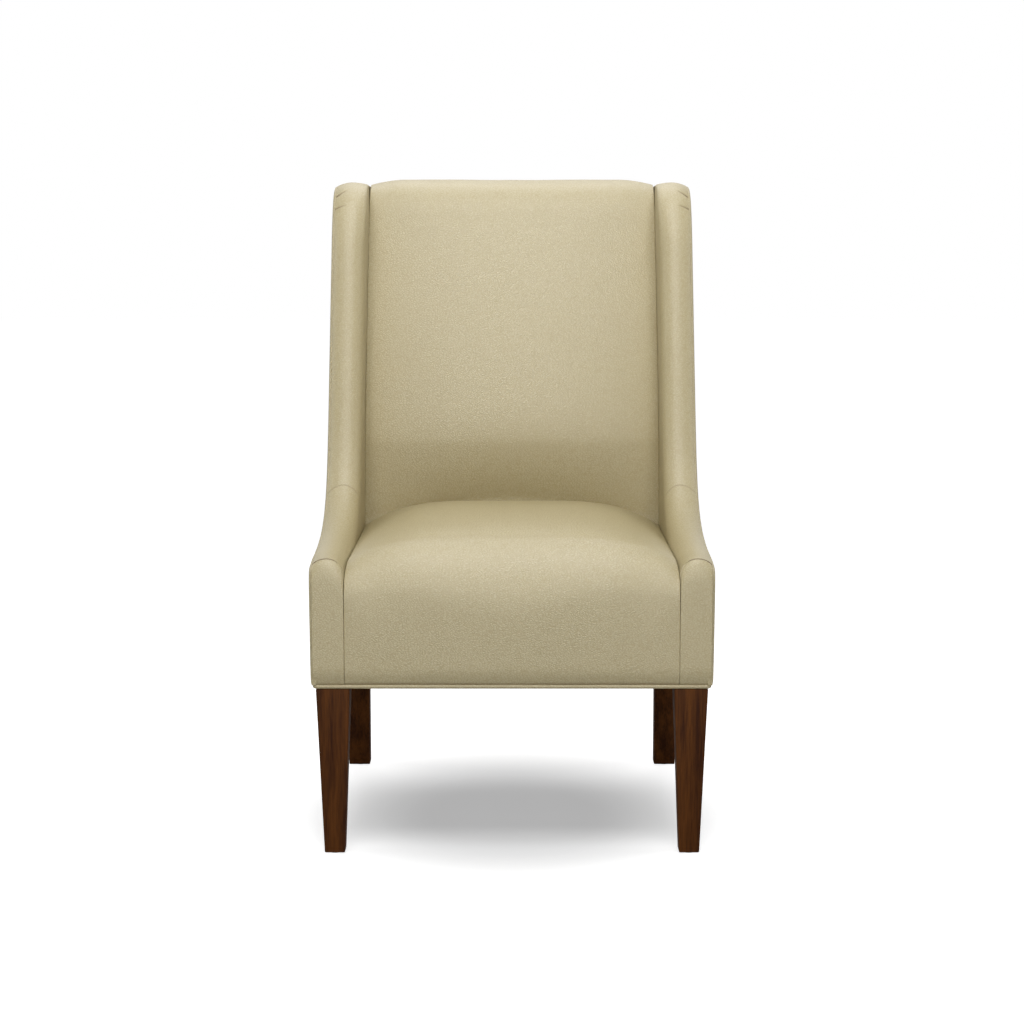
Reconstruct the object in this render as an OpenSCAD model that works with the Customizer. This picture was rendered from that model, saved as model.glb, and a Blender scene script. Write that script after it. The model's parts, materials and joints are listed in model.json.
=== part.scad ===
// Upholstered wing dining chair: a wooden frame on four tapered legs, padded with foam and
// covered in leather, with wings that swoop down into low front arms.
// Lengths are millimetres. Heights are measured from the floor, depths from the front plane back.

/* [Overall size] */
// Width over the two outside panels
chair_w = 622; // [580:1:680]
// Depth from the front face to the back of the top edge
chair_d = 680; // [650:1:720]
// Height of the middle of the back
chair_h = 1050; // [1000:1:1100]
// Clear height under the welt
leg_h = 264.6; // [230:0.1:300]
// Backward lean of the outside back, in degrees
back_rake = 9; // [6:0.5:11]

/* [Seat] */
// Height of the seat at the top of its crown
seat_h = 512; // [495:1:530]
// Rise of the seat from its sides to its crown
seat_crown = 56; // [30:1:70]
// Fall of the seat towards its front edge
seat_front_fall = 17; // [5:1:25]
// Distance from the seam of the inside back, at the seat, to the back of the top edge
back_space = 222; // [205:1:240]
// Depth and height of the waterfall front edge, in the middle
seat_nose_r = 66; // [40:1:75]
seat_nose_h = 108; // [60:1:115]
// Forward swell of the front face
seat_front_swell = 3; // [0:0.5:5]

/* [Arms and wings] */
// Height of the arm at its front end
arm_h = 464; // [450:1:480]
// Thickness of an arm or wing from outside to inside
wing_t = 57.4; // [50:0.1:64]
// Depth of the padded roll on the arm and the wing front
roll_d = 27; // [20:1:32]
// Distance of the ridge of the roll from the outside of the arm or wing
ridge_inset = 30; // [26:1:34]
// Depth of the padded roll on the top of the wing
roll_top_d = 10; // [8:1:16]
// Height of the back's middle above the top of the wings
wing_drop = 6; // [0:1:30]
// Distance of the top of the wing's straight front before the back's seam at the seat
shoulder_lead = 31; // [20:1:45]
// Distance of the top of the swoop before the back's seam at the seat
swoop_lead = 87; // [75:1:100]
// Height of the swoop above the arm
swoop_rise = 216; // [190:1:240]
// How much narrower the front end of the arm is than the arm behind it
arm_flare = 4.3; // [0:0.1:6]
// Inward lean of the wing over its height
wing_lean = 6.6; // [0:0.1:10]

/* [Back] */
// Swell of the middle of the inside back in front of its seams
back_crown = 30; // [15:1:34]
// Setback of the top of the side seam behind its foot
back_seam_run = 96; // [80:1:110]

/* [Frame] */
// Thickness of the plywood wing panels
panel_t = 22; // [18:1:24]
// Thickness of the rails
rail_t = 22; // [18:1:24]
// Height of the seat rails
rail_h = 94.5; // [80:0.5:110]
// Thickness of the back posts and side rails
post_t = 25; // [20:1:28]
// Depth of the back posts
post_d = 65; // [55:1:72]
// Height of the side rails, the lower back rail and the edge of the top rail
small_rail_h = 44; // [35:1:50]
// Height of the leg blocks
block_h = 30; // [25:1:40]
// Length of the front leg blocks along each rail
block_l = 74; // [60:1:90]
// Depth of the padding over the front edge of the frame
front_pad = 12; // [10:0.5:16]
// Depth of the padding over the edge of the wing panel
edge_pad = 20; // [16:1:24]
// Diameter of the dowels in the rails
dowel_d = 10; // [8:0.5:12]
// Length of the dowels in the rails
dowel_l = 40; // [36:1:44]

/* [Suspension] */
// Diameter of the seat spring wire
wire_d = 3.8; // [3:0.1:4.5]
// Width of a seat spring
spring_w = 48; // [42:1:60]
// Number of seat springs
spring_n = 4; // [3:1:5]
// Number of cross bars in a seat spring
spring_bars = 21; // [17:2:21]
// Distance between seat springs
spring_gap = 110; // [90:1:120]
// Width of a back strap
strap_w = 50; // [40:1:60]
// Distance of the upright straps from the middle of the back
strap_x = 65; // [50:1:90]
// Thickness of a back strap
strap_t = 1.6; // [1:0.1:2]
// Number of straps across the back
strap_n = 5; // [4:1:6]

/* [Leather] */
// Thickness of the leather
leather_t = 1.5; // [1.2:0.1:2]
// Space left between touching soft pieces
soft_gap = 0.3; // [0.2:0.05:0.4]
// Diameter of the welt round the bottom edge
welt_d = 6.2; // [5:0.1:7]
// Width of the seam that the outside panel turns over
edge_turn = 4.5; // [3:0.5:6]
// Inward turn of the covers at the bottom edge
bottom_turn = 8; // [5:0.5:9]

/* [Legs] */
// Width of a front leg at the top
leg_w = 52; // [44:1:56]
// Width of a front leg at the foot
foot_w = 31.5; // [26:0.5:40]
// Distance of a front leg from the side of the chair
leg_side_inset = 9; // [8:0.5:12]
// Distance of a front leg from the front of the chair
leg_front_inset = 5; // [4:0.5:8]
// Width of a rear leg at the top
rear_leg_w = 44; // [40:1:48]
// Width of a rear leg at the foot
rear_foot_w = 36; // [30:1:40]
// Distance that the front of a rear leg runs back from its top to its foot
rear_leg_run = 89; // [60:1:95]
// Chamfer along the edges of a leg
leg_chamfer = 1.6; // [1:0.1:3]
// Diameter of the hanger bolts
bolt_d = 8; // [6:0.5:10]
// Depth of a hanger bolt in its leg
bolt_depth = 32; // [25:1:38]
// Diameter of the glides
glide_d = 24; // [18:1:26]
// Thickness of the glides
glide_t = 2.5; // [2:0.1:4]

/* [Hidden] */

leather = "#c8bc9c";
walnut = "#41291c";
beech = "#c9a574";
plywood = "#d3b384";
foam = "#efe3b0";
batting = "#f2f0ea";
steel = "#a9adb1";
webbing = "#6b5a44";
cambric = "#2b2b2d";
nylon = "#1d1d1f";

// Levels of the frame
frame_z = leg_h + welt_d + 0.7;
rail_top = frame_z + rail_h;
block_top = frame_z + block_h;
post_top = chair_h - 38;
clip_t = 1.2;
deck_z = rail_top + 2 * clip_t + wire_d;
cloth_t = 1;
foam_z = deck_z + cloth_t + soft_gap;

// Half widths and depths of the frame
half_w = chair_w / 2;
wing_h = chair_h - wing_drop;
seat_d = chair_d - back_space;
panel_x1 = half_w - 10;
panel_x0 = panel_x1 - panel_t;
post_x0 = panel_x0 - post_t;
rail_y0 = front_pad;
rail_y1 = rail_y0 + rail_t;
rear_rail_y = back_y(frame_z) - 40;

// Depth of the outside back at a height
function back_y(z) = chair_d - (chair_h - 22 - z) * tan(back_rake);
// Rear and front faces of the back posts
back_pad = 6;
function post_y1(z) = back_y(z) - back_pad;
function post_y0(z) = post_y1(z) - post_d;

function mix(a, b, t) = a + (b - a) * t;
function clamp(v, low, high) = min(max(v, low), high);
function unit(v) = v / norm(v);
function last(list) = list[len(list) - 1];
// A point on the cubic curve through p[0] and p[3], pulled by p[1] and p[2]
function curve(p, t) =
    pow(1 - t, 3) * p[0] + 3 * t * pow(1 - t, 2) * p[1] + 3 * t * t * (1 - t) * p[2] + pow(t, 3) * p[3];

// Half width of the outside panels and of the wings' inner faces at a height
function side_x(z) = half_w - wing_lean * max(0, (z - arm_h) / (wing_h - arm_h));
function inner_x(z) = side_x(z) - wing_t;
// Outward shift of the arms' inner faces and the seat's sides towards the front
flare_run = 80;
function flare(y) = arm_flare * pow(clamp(1 - (y - front_pad) / flare_run, 0, 1), 2);

// Everything is drawn from the front plane back, then centred over the origin
module centred() {
    translate([0, -chair_d / 2, 0]) children();
}

module both_sides() {
    children();
    mirror([1, 0, 0]) children();
}

// An outline of [depth, height] points, extruded across the chair from x0 to x1
module across(points, x0, x1) {
    translate([x0, 0, 0]) rotate([90, 0, 90]) linear_extrude(x1 - x0) polygon(points);
}

function split(a, b, c, d) = [[a, b, c], [a, c, d]];

// A closed solid between two grids of points with the same rows and columns. The outward
// side of the outer grid is the cross product of its row step and its column step.
module between(outer, inner) {
    rows = len(outer);
    cols = len(outer[0]);
    total = rows * cols;
    function out(i, j) = i * cols + j;
    function in(i, j) = total + out(i, j);
    end_row = rows - 1;
    end_col = cols - 1;
    faces = [
        for (i = [0:rows - 2], j = [0:cols - 2]) each concat(
            split(out(i, j), out(i, j + 1), out(i + 1, j + 1), out(i + 1, j)),
            split(in(i, j), in(i + 1, j), in(i + 1, j + 1), in(i, j + 1))
        ),
        for (i = [0:rows - 2]) each concat(
            split(out(i, 0), out(i + 1, 0), in(i + 1, 0), in(i, 0)),
            split(out(i + 1, end_col), out(i, end_col), in(i, end_col), in(i + 1, end_col))
        ),
        for (j = [0:cols - 2]) each concat(
            split(out(0, j + 1), out(0, j), in(0, j), in(0, j + 1)),
            split(out(end_row, j), out(end_row, j + 1), in(end_row, j + 1), in(end_row, j))
        )
    ];
    polyhedron(points=[for (row = outer) each row, for (row = inner) each row], faces=faces);
}

// Depth at which a cover or its padding ends in front of the outside back's top edge
top_lean = 1.5;
function back_end_y(z) = back_y(z) - top_lean - leather_t - 0.4;
function in_front(grid) = [
    for (row = grid) [for (p = row) [p[0], min(p[1], back_end_y(p[2])), p[2]]]
];

// Wing and arm outline: the ridge of the padded roll, as [depth, height] points
fold_y = front_pad;
swoop_start = [seat_d * 0.13, arm_h + 6];
swoop_end = [seat_d - swoop_lead, arm_h + swoop_rise];
swoop_pulls = [swoop_end - [51, swoop_rise - 14], swoop_end - [36, swoop_rise - 66]];
swoop = concat([swoop_start], swoop_pulls, [swoop_end]);
shoulder = [seat_d - shoulder_lead, wing_h - 111];
top_front = shoulder + [98, 111];
wing_corner = [shoulder, shoulder + [16, 71], shoulder + [43, 107], top_front];
top_rear_z = wing_h - 5;
top_rear = [back_y(top_rear_z - roll_top_d) - leather_t - 1.2, top_rear_z];

arm_steps = 2;
swoop_steps = 9;
front_steps = 3;
corner_steps = 6;
top_steps = 3;
ridge = [
    for (k = [0:arm_steps - 1]) mix([fold_y, arm_h], swoop_start, k / arm_steps),
    for (k = [0:swoop_steps]) curve(swoop, k / swoop_steps),
    for (k = [1:front_steps - 1]) mix(swoop_end, shoulder, k / front_steps),
    for (k = [0:corner_steps]) curve(wing_corner, k / corner_steps),
    for (k = [1:top_steps]) mix(top_front, top_rear, k / top_steps)
];
stations = len(ridge);
corner_first = arm_steps + swoop_steps + front_steps;
corner_last = corner_first + corner_steps;
foot_station = arm_steps + 6;

// Inward normal of the outline at a station
function inward(i) =
    let (t = unit(ridge[min(i + 1, stations - 1)] - ridge[max(i - 1, 0)])) [t[1], -t[0]];

// Depth of the padded roll at a station
function roll(i) = mix(roll_d, roll_top_d, clamp((i - corner_first) / corner_steps, 0, 1));

// Hidden end of the wing's inner face at a station: above the side rail, then up the back
// post, then along the top of the frame
tuck_z = rail_top + 0.5;
top_tuck_z = post_top + 2;
function tuck_y(z) = post_y0(z) - 2 * strap_t - 2 * soft_gap;
function tuck(i) =
    i <= foot_station ? [mix(fold_y, tuck_y(tuck_z), i / foot_station), tuck_z]
    : i < corner_last ?
        let (z = mix(tuck_z, top_tuck_z, (i - foot_station) / (corner_last - foot_station)))
            [tuck_y(z), z]
    : [mix(tuck_y(top_tuck_z), top_rear[0] - 8, (i - corner_last) / top_steps), top_tuck_z];

// Angles of the roll's section, from the outside seam over the ridge to the inner face
roll_out = ridge_inset;
seam_angle = acos((roll_out - edge_turn) / roll_out);
// Depth of the roll outside its ridge, as a share of its depth inside
outer_share = 0.78;
first_angle = seam_angle + 4;
roll_angles = [first_angle, 46, 60, 75, 90, 108, 130, 155, 180];

// A point of the wing cover's face, off below it: the roll, then the inner face
function roll_point(i, a, off) =
    let (
        n = inward(i),
        r = roll(i) * (a < 90 ? outer_share : 1),
        p = ridge[i] + n * (r - (r - off) * sin(a)),
        axis_x = side_x(p[1]) - roll_out,
        semi = (a < 90 ? roll_out : wing_t - roll_out - flare(p[0])) - off
    ) [axis_x + semi * cos(a), p[0], p[1]];
function tuck_point(i, off) =
    let (p = tuck(i)) [inner_x(p[1]) + flare(p[0]) + off, p[0], p[1]];
function wing_face(off, first) = [
    for (i = [0:stations - 1]) concat(
        [for (j = [first:len(roll_angles) - 1]) roll_point(i, roll_angles[j], off)],
        [tuck_point(i, off)]
    )
];

// Frame side of the wing foam: over the edge of the plywood, then down its inner face
panel_gap = 0.3;
over_points = 2;
function wing_back_point(i, j, x) =
    let (p = ridge[i] + inward(i) * (edge_pad - panel_gap + 1.5 * max(0, j - over_points)))
        [j < over_points ? x : panel_x0 - panel_gap, p[0], p[1]];
function wing_back(face) = [
    for (i = [0:stations - 1]) let (row = face[i]) concat(
        [for (j = [0:len(row) - 2]) wing_back_point(i, j, row[j][0])],
        [[panel_x0 - panel_gap, last(row)[1], last(row)[2]]]
    )
];

module wing_cover() {
    color(leather) between(wing_face(0, 0), wing_face(leather_t, 0));
}

module wing_foam() {
    face = wing_face(leather_t + soft_gap, 1);
    color(foam) between(in_front(face), in_front(wing_back(face)));
}

// Plywood wing panel: the wing outline, drawn in by the padding over its edge
panel_edge = [
    for (i = [0:stations - 1]) let (p = ridge[i] + inward(i) * edge_pad) [
        clamp(p[0], rail_y0, post_y1(p[1])), p[1]
    ]
];
module wing_panel() {
    rear_top = last(panel_edge);
    color(plywood) difference() {
        across(
            concat(
                panel_edge,
                [
                    [post_y1(rear_top[1]), rear_top[1] - 1],
                    [post_y1(frame_z), frame_z],
                    [rail_y0, frame_z]
                ]
            ),
            panel_x0, panel_x1
        );
        front_dowels(0.1);
    }
}

// Outside panel: it turns over the front and top edges to the seam, and in at the bottom and
// the rear. Each edge row is [seam point, direction into the panel]
seam_share = outer_share * (1 - sin(seam_angle));
arm_corner_z = arm_h - roll_d * seam_share;
corner_cut = 5;
seam_y0 = leather_t + soft_gap;
front_edge = [
    [[seam_y0 + 2.6, frame_z + corner_cut], [1, 0]],
    [[seam_y0, mix(frame_z, arm_corner_z, 0.5)], [1, 0]],
    [[seam_y0, arm_corner_z - fold_y - 4], [1, 0]],
    [[seam_y0 + fold_y * 0.3, arm_corner_z - fold_y * 0.4], [0.7, -0.7]]
];
function top_seam(i) = ridge[i] + inward(i) * roll(i) * seam_share;
edge_rows = concat(
    front_edge,
    [for (i = [0:stations - 2]) [top_seam(i), inward(i)]],
    [[top_seam(stations - 1) - [6, 0], [0, -1]]],
    [[top_seam(stations - 1), [0, -1]]]
);
edge_count = len(edge_rows);
edge_foot = len(front_edge) + foot_station;

// Far edge of the outside panel: along the bottom, then up the rear corner
panel_top_z = last(edge_rows)[0][1] - 6;
function rear_edge_y(z) = back_y(z) - leather_t - soft_gap;
function far_edge(i) =
    i <= edge_foot
        ? [mix(seam_y0 + corner_cut, rear_edge_y(frame_z) - 4, i / edge_foot), frame_z]
        : let (z = mix(frame_z, panel_top_z, (i - edge_foot) / (edge_count - 1 - edge_foot)))
            [rear_edge_y(z), z];

function outside_points(i) =
    let (
        seam = edge_rows[i][0],
        into = edge_rows[i][1],
        far = far_edge(i),
        way = unit(seam + into * 6 - far),
        span = norm(seam + into * 6 - far),
        turn = i <= edge_foot ? bottom_turn : edge_turn
    )
    i == edge_count - 1
        ? [for (k = [0:5]) [edge_turn, mix(far, seam, k / 5)]]
        : [
            [turn, far],
            [turn * 0.3, far + way * min(5, span * 0.3)],
            [0, far + way * min(14, span * 0.6)],
            [0, seam + into * 6],
            [edge_turn * 0.3, seam + into * 2.2],
            [edge_turn, seam]
        ];
function outside_face(off) = [
    for (i = [0:edge_count - 1])
        [for (p = outside_points(i)) [side_x(p[1][1]) - p[0] - off, p[1][0], p[1][1]]]
];

module outside_panel() {
    color(leather) between(outside_face(0), outside_face(leather_t));
}

// Padding between the outside panel and the plywood
function flat_back(face) = [
    for (row = face) [for (p = row) [min(panel_x1 + panel_gap, p[0] - 0.6), p[1], p[2]]]
];
module side_padding() {
    face = outside_face(leather_t + soft_gap);
    inset = [for (i = [0:edge_count - 2]) [for (j = [1:len(face[i]) - 2]) face[i][j]]];
    color(batting) between(in_front(inset), in_front(flat_back(inset)));
}

// Arm front: a tall panel with a rounded top, as wide as the arm
arm_front_angles = [176, 160, 140, 120, 100, 80, 62, 46, first_angle];
function arm_front_row(a, off) =
    let (
        top = roll_point(0, a, 0),
        top_z = top[2] - 0.8,
        rows = [
            [4, frame_z, 0],
            [0.6, frame_z + 12, 0],
            [0, frame_z + 50, 0],
            [0, mix(frame_z, top_z, 0.6), 0],
            [0, top_z - 10, 0],
            [1.2, top_z - 5, 30],
            [3.6, top_z - 1.6, 60],
            [fold_y - 0.8, top_z, 85]
        ]
    ) [
        for (r = rows)
            [half_w - roll_out + (top[0] - half_w + roll_out) * (1 - off / roll_out),
                r[0] + off * cos(r[2]), r[1] - off * sin(r[2])]
    ];
function arm_front(off) = [for (a = arm_front_angles) arm_front_row(a, off)];

module arm_front_panel() {
    color(leather) between(arm_front(0), arm_front(leather_t));
}
module arm_front_pad() {
    whole = arm_front(leather_t + soft_gap);
    face = [
        for (i = [0:len(whole) - 2])
            [for (p = whole[i]) [min(p[0], panel_x1 - 0.1), p[1], p[2]]]
    ];
    flat = [for (row = face) [for (p = row) [p[0], rail_y0 - soft_gap, p[2]]]];
    color(foam) between(face, flat);
}

// Seat: crowned from side to side and front to back, with a waterfall front edge
seat_side_z = seat_h - seat_crown;
seat_half = inner_x(seat_side_z) - 2 * soft_gap;
seat_power = 4.5;
seat_mid_y = seat_d * 0.59;
seat_rear_y = seat_d - 0.8;
seat_fractions = [-1, -0.96, -0.9, -0.8, -0.66, -0.45, -0.2, 0, 0.2, 0.45, 0.66, 0.8, 0.9, 0.96, 1];
seat_tuck = 30;
function seat_top_z(y, t) =
    let (mid = seat_h - seat_front_fall * pow((y - seat_mid_y) / (seat_mid_y - seat_nose_r), 2))
    mix(mid, seat_side_z, pow(abs(t), seat_power));
function seat_profile(t, off) =
    let (
        nose_h = mix(seat_nose_h, seat_nose_r - 12, pow(abs(t), 1.5)),
        nose_z = seat_top_z(seat_nose_r, t) - nose_h,
        swell = seat_front_swell * (1 - t * t)
    ) concat(
        [
            [4 + off, frame_z],
            [0.6 - swell * 0.2 + off, frame_z + 12],
            [-swell * 0.7 + off, mix(frame_z, nose_z, 0.45)],
            [-swell + off, mix(frame_z, nose_z, 0.8)]
        ],
        [
            for (k = [0:5]) let (a = 18 * k) [
                seat_nose_r - (seat_nose_r - off) * cos(a) - swell * (1 - k / 5),
                nose_z + (nose_h - off) * sin(a)
            ]
        ],
        [
            for (k = [1:6]) let (y = mix(seat_nose_r, seat_rear_y, k / 6))
                [y - (k == 6 ? off : 0), seat_top_z(y, t) - off]
        ]
    );
function seat_rows(off, widening) = [
    for (t = seat_fractions) [
        for (p = seat_profile(t, off))
            [t * (seat_half + widening * flare(p[0]) - off), p[0], p[1]]
    ]
];
// The cover's sides tuck down beside the seat, and stop short of the front rail
lip_y = rail_y0 - soft_gap;
front_points = 4;
function seat_side(side, off) =
    let (points = seat_profile(side, off + seat_tuck)) [
        for (j = [0:len(points) - 1])
            let (
                p = points[j],
                half = seat_half + flare(j < front_points ? lip_y : p[0]) - off,
                facing = j < front_points || p[1] < rail_top + 10
            ) [side * half, facing ? min(p[0], lip_y) : p[0], p[1]]
    ];

module seat_cover() {
    function faced(off) = concat([seat_side(-1, off)], seat_rows(off, 1), [seat_side(1, off)]);
    color(leather) between(faced(0), faced(leather_t));
}
module seat_foam() {
    face = seat_rows(leather_t + soft_gap, 0);
    nose_points = 6;
    under = [
        for (row = face) [
            for (j = [0:len(row) - 1])
                let (p = row[j], t = (j - front_points + 1) / nose_points)
                t < 0 ? [p[0], lip_y, p[2]] : [p[0], t < 1 ? mix(lip_y, seat_nose_r, t) : p[1], foam_z]
        ]
    ];
    color(foam) between(face, under);
}

// Inside back: straight side seams, a crowned middle, and a rounded top that runs back to
// the outside back
back_fractions = [-1, -0.94, -0.86, -0.76, -0.52, -0.26, 0, 0.26, 0.52, 0.76, 0.86, 0.94, 1];
back_foot_z = rail_top + small_rail_h + 15;
back_fold_z = seat_h - 9;
back_roll_z = chair_h - 68;
back_bend_z = 600;
back_seam_top = chair_h - 38;
top_mid_y = post_y0(post_top);
top_fall = 10;
function seam_y(z) =
    seat_d + back_seam_run * pow(max(0, (z - back_bend_z) / (back_seam_top - back_bend_z)), 1.3);
back_rise = 150;
back_full_z = back_fold_z + back_rise;
function swell_at(z) =
    z < back_fold_z ? 0
    : z < back_full_z ? sin(90 * (z - back_fold_z) / back_rise)
    : mix(1, 0.75, (z - back_full_z) / (back_roll_z - back_full_z));
back_levels = [
    back_foot_z, mix(back_foot_z, back_fold_z, 0.5),
    for (k = [0:4]) back_fold_z + back_rise * k / 4,
    for (k = [1:4]) mix(back_full_z, back_roll_z, k / 4)
];
back_top_drop = 10;
back_top_flat = 0.76;
function back_top_z(t) =
    chair_h - back_top_drop * pow(max(0, (abs(t) - back_top_flat) / (1 - back_top_flat)), 1.35);
function back_profile(t, off) =
    let (
        bulge = back_crown * (1 - pow(abs(t), 2.6)),
        y0 = seam_y(back_roll_z) - bulge * swell_at(back_roll_z),
        top_z = back_top_z(t),
        end_y = back_end_y(top_z - top_fall),
        over = [[y0, back_roll_z], [y0 + 11, back_roll_z + 46], [y0 + 34, top_z], [top_mid_y, top_z]]
    ) concat(
        [for (z = back_levels) [seam_y(z) - bulge * swell_at(z) + off, z]],
        [
            for (k = [1:4])
                let (p = curve(over, k / 4), a = [15, 40, 70, 90][k - 1])
                    [p[0] + off * cos(a), p[1] - off * sin(a)]
        ],
        [
            [mix(top_mid_y, end_y, 0.6), top_z - 3 - off],
            [end_y, top_z - top_fall - off]
        ]
    );
function back_row(t, off) = [
    for (p = back_profile(t, off)) [t * (inner_x(p[1]) - 2 * soft_gap - off), p[0], p[1]]
];
function back_face(off) = [for (t = back_fractions) back_row(t, off)];

module inside_back_cover() {
    color(leather) between(back_face(0), back_face(leather_t));
}
module back_foam() {
    face = back_face(leather_t + soft_gap);
    rail_z = post_top + soft_gap;
    level_count = len(back_levels);
    rear_points = len(face[0]) - level_count;
    rear = [
        for (row = face) [
            for (j = [0:len(row) - 1])
                let (p = row[j])
                j < level_count
                    ? [p[0], post_y0(p[2]) - 2 * strap_t - soft_gap, p[2]]
                    : [
                        p[0],
                        mix(
                            post_y0(post_top) - 2 * strap_t - soft_gap,
                            back_end_y(rail_z),
                            (j - level_count) / (rear_points - 1)
                        ),
                        rail_z
                    ]
        ]
    ];
    color(foam) between(face, rear);
}

// Outside back: one leather panel with padding in front of it. Its top edge follows the rear
// ends of the wings' rolls and of the inside back
side_tops = concat(
    [
        for (a = [first_angle, 46, 60, 75, 90, 108, 130, 155])
            let (p = roll_point(stations - 1, a, 1)) [p[0], p[2]]
    ],
    [
        for (t = [0.99, 0.88, 0.76, 0.4])
            let (z = back_top_z(t) - top_fall - 1) [t * inner_x(z), z]
    ]
);
side_top_count = len(side_tops);
outside_back_columns = concat(
    [for (p = side_tops) [-p[0], p[1]]],
    [[0, back_top_z(0) - top_fall - 1]],
    [for (k = [1:side_top_count]) side_tops[side_top_count - k]]
);
function outside_back_half(z) = side_x(z) - edge_turn - 1.5;
function outside_back_face(off) = [
    for (c = outside_back_columns) let (
        t = c[0] / outside_back_half(c[1]),
        rows = [
            [c[1], top_lean],
            [top_tuck_z, 0],
            [mix(frame_z, wing_h, 0.72), 0],
            [arm_h, 0],
            [frame_z + 12, 0],
            [frame_z, 3]
        ]
    ) [for (r = rows) [t * outside_back_half(r[0]), back_y(r[0]) - off - r[1], r[0]]]
];
module outside_back_panel() {
    color(leather) between(outside_back_face(0), outside_back_face(leather_t));
}
module outside_back_padding() {
    y_out = leather_t + soft_gap;
    high = post_top;
    low = frame_z + 14;
    color(batting) across(
        [
            [back_y(low) - back_pad, low],
            [back_y(low) - y_out, low],
            [back_y(high) - y_out, high],
            [back_y(high) - back_pad, high]
        ],
        -panel_x0, panel_x0
    );
}

// Welt: one cord along each side of the bottom edge, its ends cut to meet at the corners
welt_r = welt_d / 2;
welt_x = half_w - bottom_turn - welt_r;
welt_y0 = 4 + welt_r;
welt_y1 = back_y(frame_z) - 6 - welt_r;
welt_z = leg_h + welt_r;
module welt_run(length) {
    rotate([0, 90, 0]) cylinder(d=welt_d, h=length, center=true, $fn=32);
}
module welt_across(y) {
    color(leather) translate([0, y, welt_z]) welt_run(2 * welt_x + welt_d);
}
module welt_along(side) {
    length = welt_y1 - welt_y0 - welt_d - 0.4;
    color(leather) translate([side * welt_x, (welt_y0 + welt_y1) / 2, welt_z])
        rotate([0, 0, 90]) welt_run(length);
}

// Wooden frame
function rect(y0, z0, y1, z1) = [[y0, z0], [y1, z0], [y1, z1], [y0, z1]];

// Dowels across the ends of the front rail
dowel_levels = [frame_z + rail_h * 0.3, frame_z + rail_h * 0.75];
module dowel(y, z, x, clearance) {
    translate([x, y, z]) rotate([0, 90, 0])
        cylinder(d=dowel_d + 2 * clearance, h=dowel_l + 2 * clearance, center=true, $fn=32);
}
module front_dowels(clearance) {
    for (z = dowel_levels) dowel((rail_y0 + rail_y1) / 2, z, panel_x0, clearance);
}
module rail_dowels() {
    color(beech) both_sides() front_dowels(0);
}

module front_rail() {
    color(beech) difference() {
        across(rect(rail_y0, frame_z, rail_y1, rail_top), -panel_x0, panel_x0);
        both_sides() {
            front_dowels(0.1);
            screw_holes();
        }
    }
}
module rear_rail() {
    color(beech) across(
        rect(rear_rail_y, frame_z, rear_rail_y + rail_t, rail_top), -post_x0, post_x0
    );
}
module side_rail() {
    low = rail_top - small_rail_h;
    color(beech) across(
        [[rail_y1, low], [post_y0(low), low], [post_y0(rail_top), rail_top], [rail_y1, rail_top]],
        post_x0, panel_x0
    );
}
module back_post() {
    color(beech) across(
        [
            [post_y0(block_top), block_top],
            [post_y1(block_top), block_top],
            [post_y1(post_top), post_top],
            [post_y0(post_top), post_top]
        ],
        post_x0, panel_x0
    );
}
module top_rail() {
    low = post_top - post_t;
    color(beech) across(
        [
            [post_y0(low), low],
            [post_y1(low), low],
            [post_y1(post_top), post_top],
            [post_y0(post_top), post_top]
        ],
        -post_x0, post_x0
    );
}
module lower_back_rail() {
    high = back_foot_z - soft_gap;
    low = high - small_rail_h;
    color(beech) across(
        [
            [post_y0(low), low],
            [post_y0(low) + rail_t, low],
            [post_y0(high) + rail_t, high],
            [post_y0(high), high]
        ],
        -post_x0, post_x0
    );
}

// Leg blocks carry the legs' bolts at the four corners of the frame
front_bolt = [panel_x0 - 17, rail_y1 + 12];
rear_bolt = [post_x0 + post_t / 2, back_y(frame_z) - 29];
hole_d = bolt_d + 2;
nut_flange_d = 19;
nut_flange_t = 1.2;
nut_barrel_d = bolt_d + 1.8;
nut_barrel_h = 11;
module bolt_hole(at) {
    translate([at[0], at[1], frame_z - 1]) cylinder(d=hole_d, h=block_h + 2, $fn=32);
    translate([at[0], at[1], frame_z - 1]) cylinder(d=nut_flange_d + 0.6, h=nut_flange_t + 1.2, $fn=48);
}
module front_leg_blocks() {
    color(beech) both_sides() difference() {
        translate([0, 0, frame_z]) linear_extrude(block_h) polygon([
            [panel_x0, rail_y1],
            [panel_x0, rail_y1 + block_l],
            [panel_x0 - screw_seat, rail_y1 + block_l],
            [panel_x0 - block_l, rail_y1 + screw_seat],
            [panel_x0 - block_l, rail_y1]
        ]);
        bolt_hole(front_bolt);
        screw_holes();
    }
}
module rear_leg_blocks() {
    color(beech) both_sides() difference() {
        across(
            [
                [post_y0(block_top) - 12, frame_z],
                [post_y1(frame_z), frame_z],
                [post_y1(block_top), block_top],
                [post_y0(block_top) - 12, block_top]
            ],
            post_x0, panel_x0
        );
        bolt_hole(rear_bolt);
    }
}

// Screws that pull each front leg block against the front rail
screw_d = 4.5;
screw_head_d = 9;
screw_l = 32;
screw_seat = 14;
screw_x = panel_x0 - block_l + 10;
module screw_at(x, z, grow) {
    translate([x, rail_y1 + screw_seat, z]) rotate([90, 0, 0]) {
        cylinder(d=screw_d + 2 * grow, h=screw_l + grow, $fn=24);
        cylinder(d1=screw_head_d + 2 * grow, d2=screw_d + 2 * grow, h=3, $fn=32);
    }
}
screw_levels = [frame_z + 9, frame_z + block_h - 9];
module screw_holes() {
    for (z = screw_levels) screw_at(screw_x, z, 0.1);
}
module block_screws() {
    color(steel) both_sides() for (z = screw_levels) screw_at(screw_x, z, 0);
}

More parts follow.
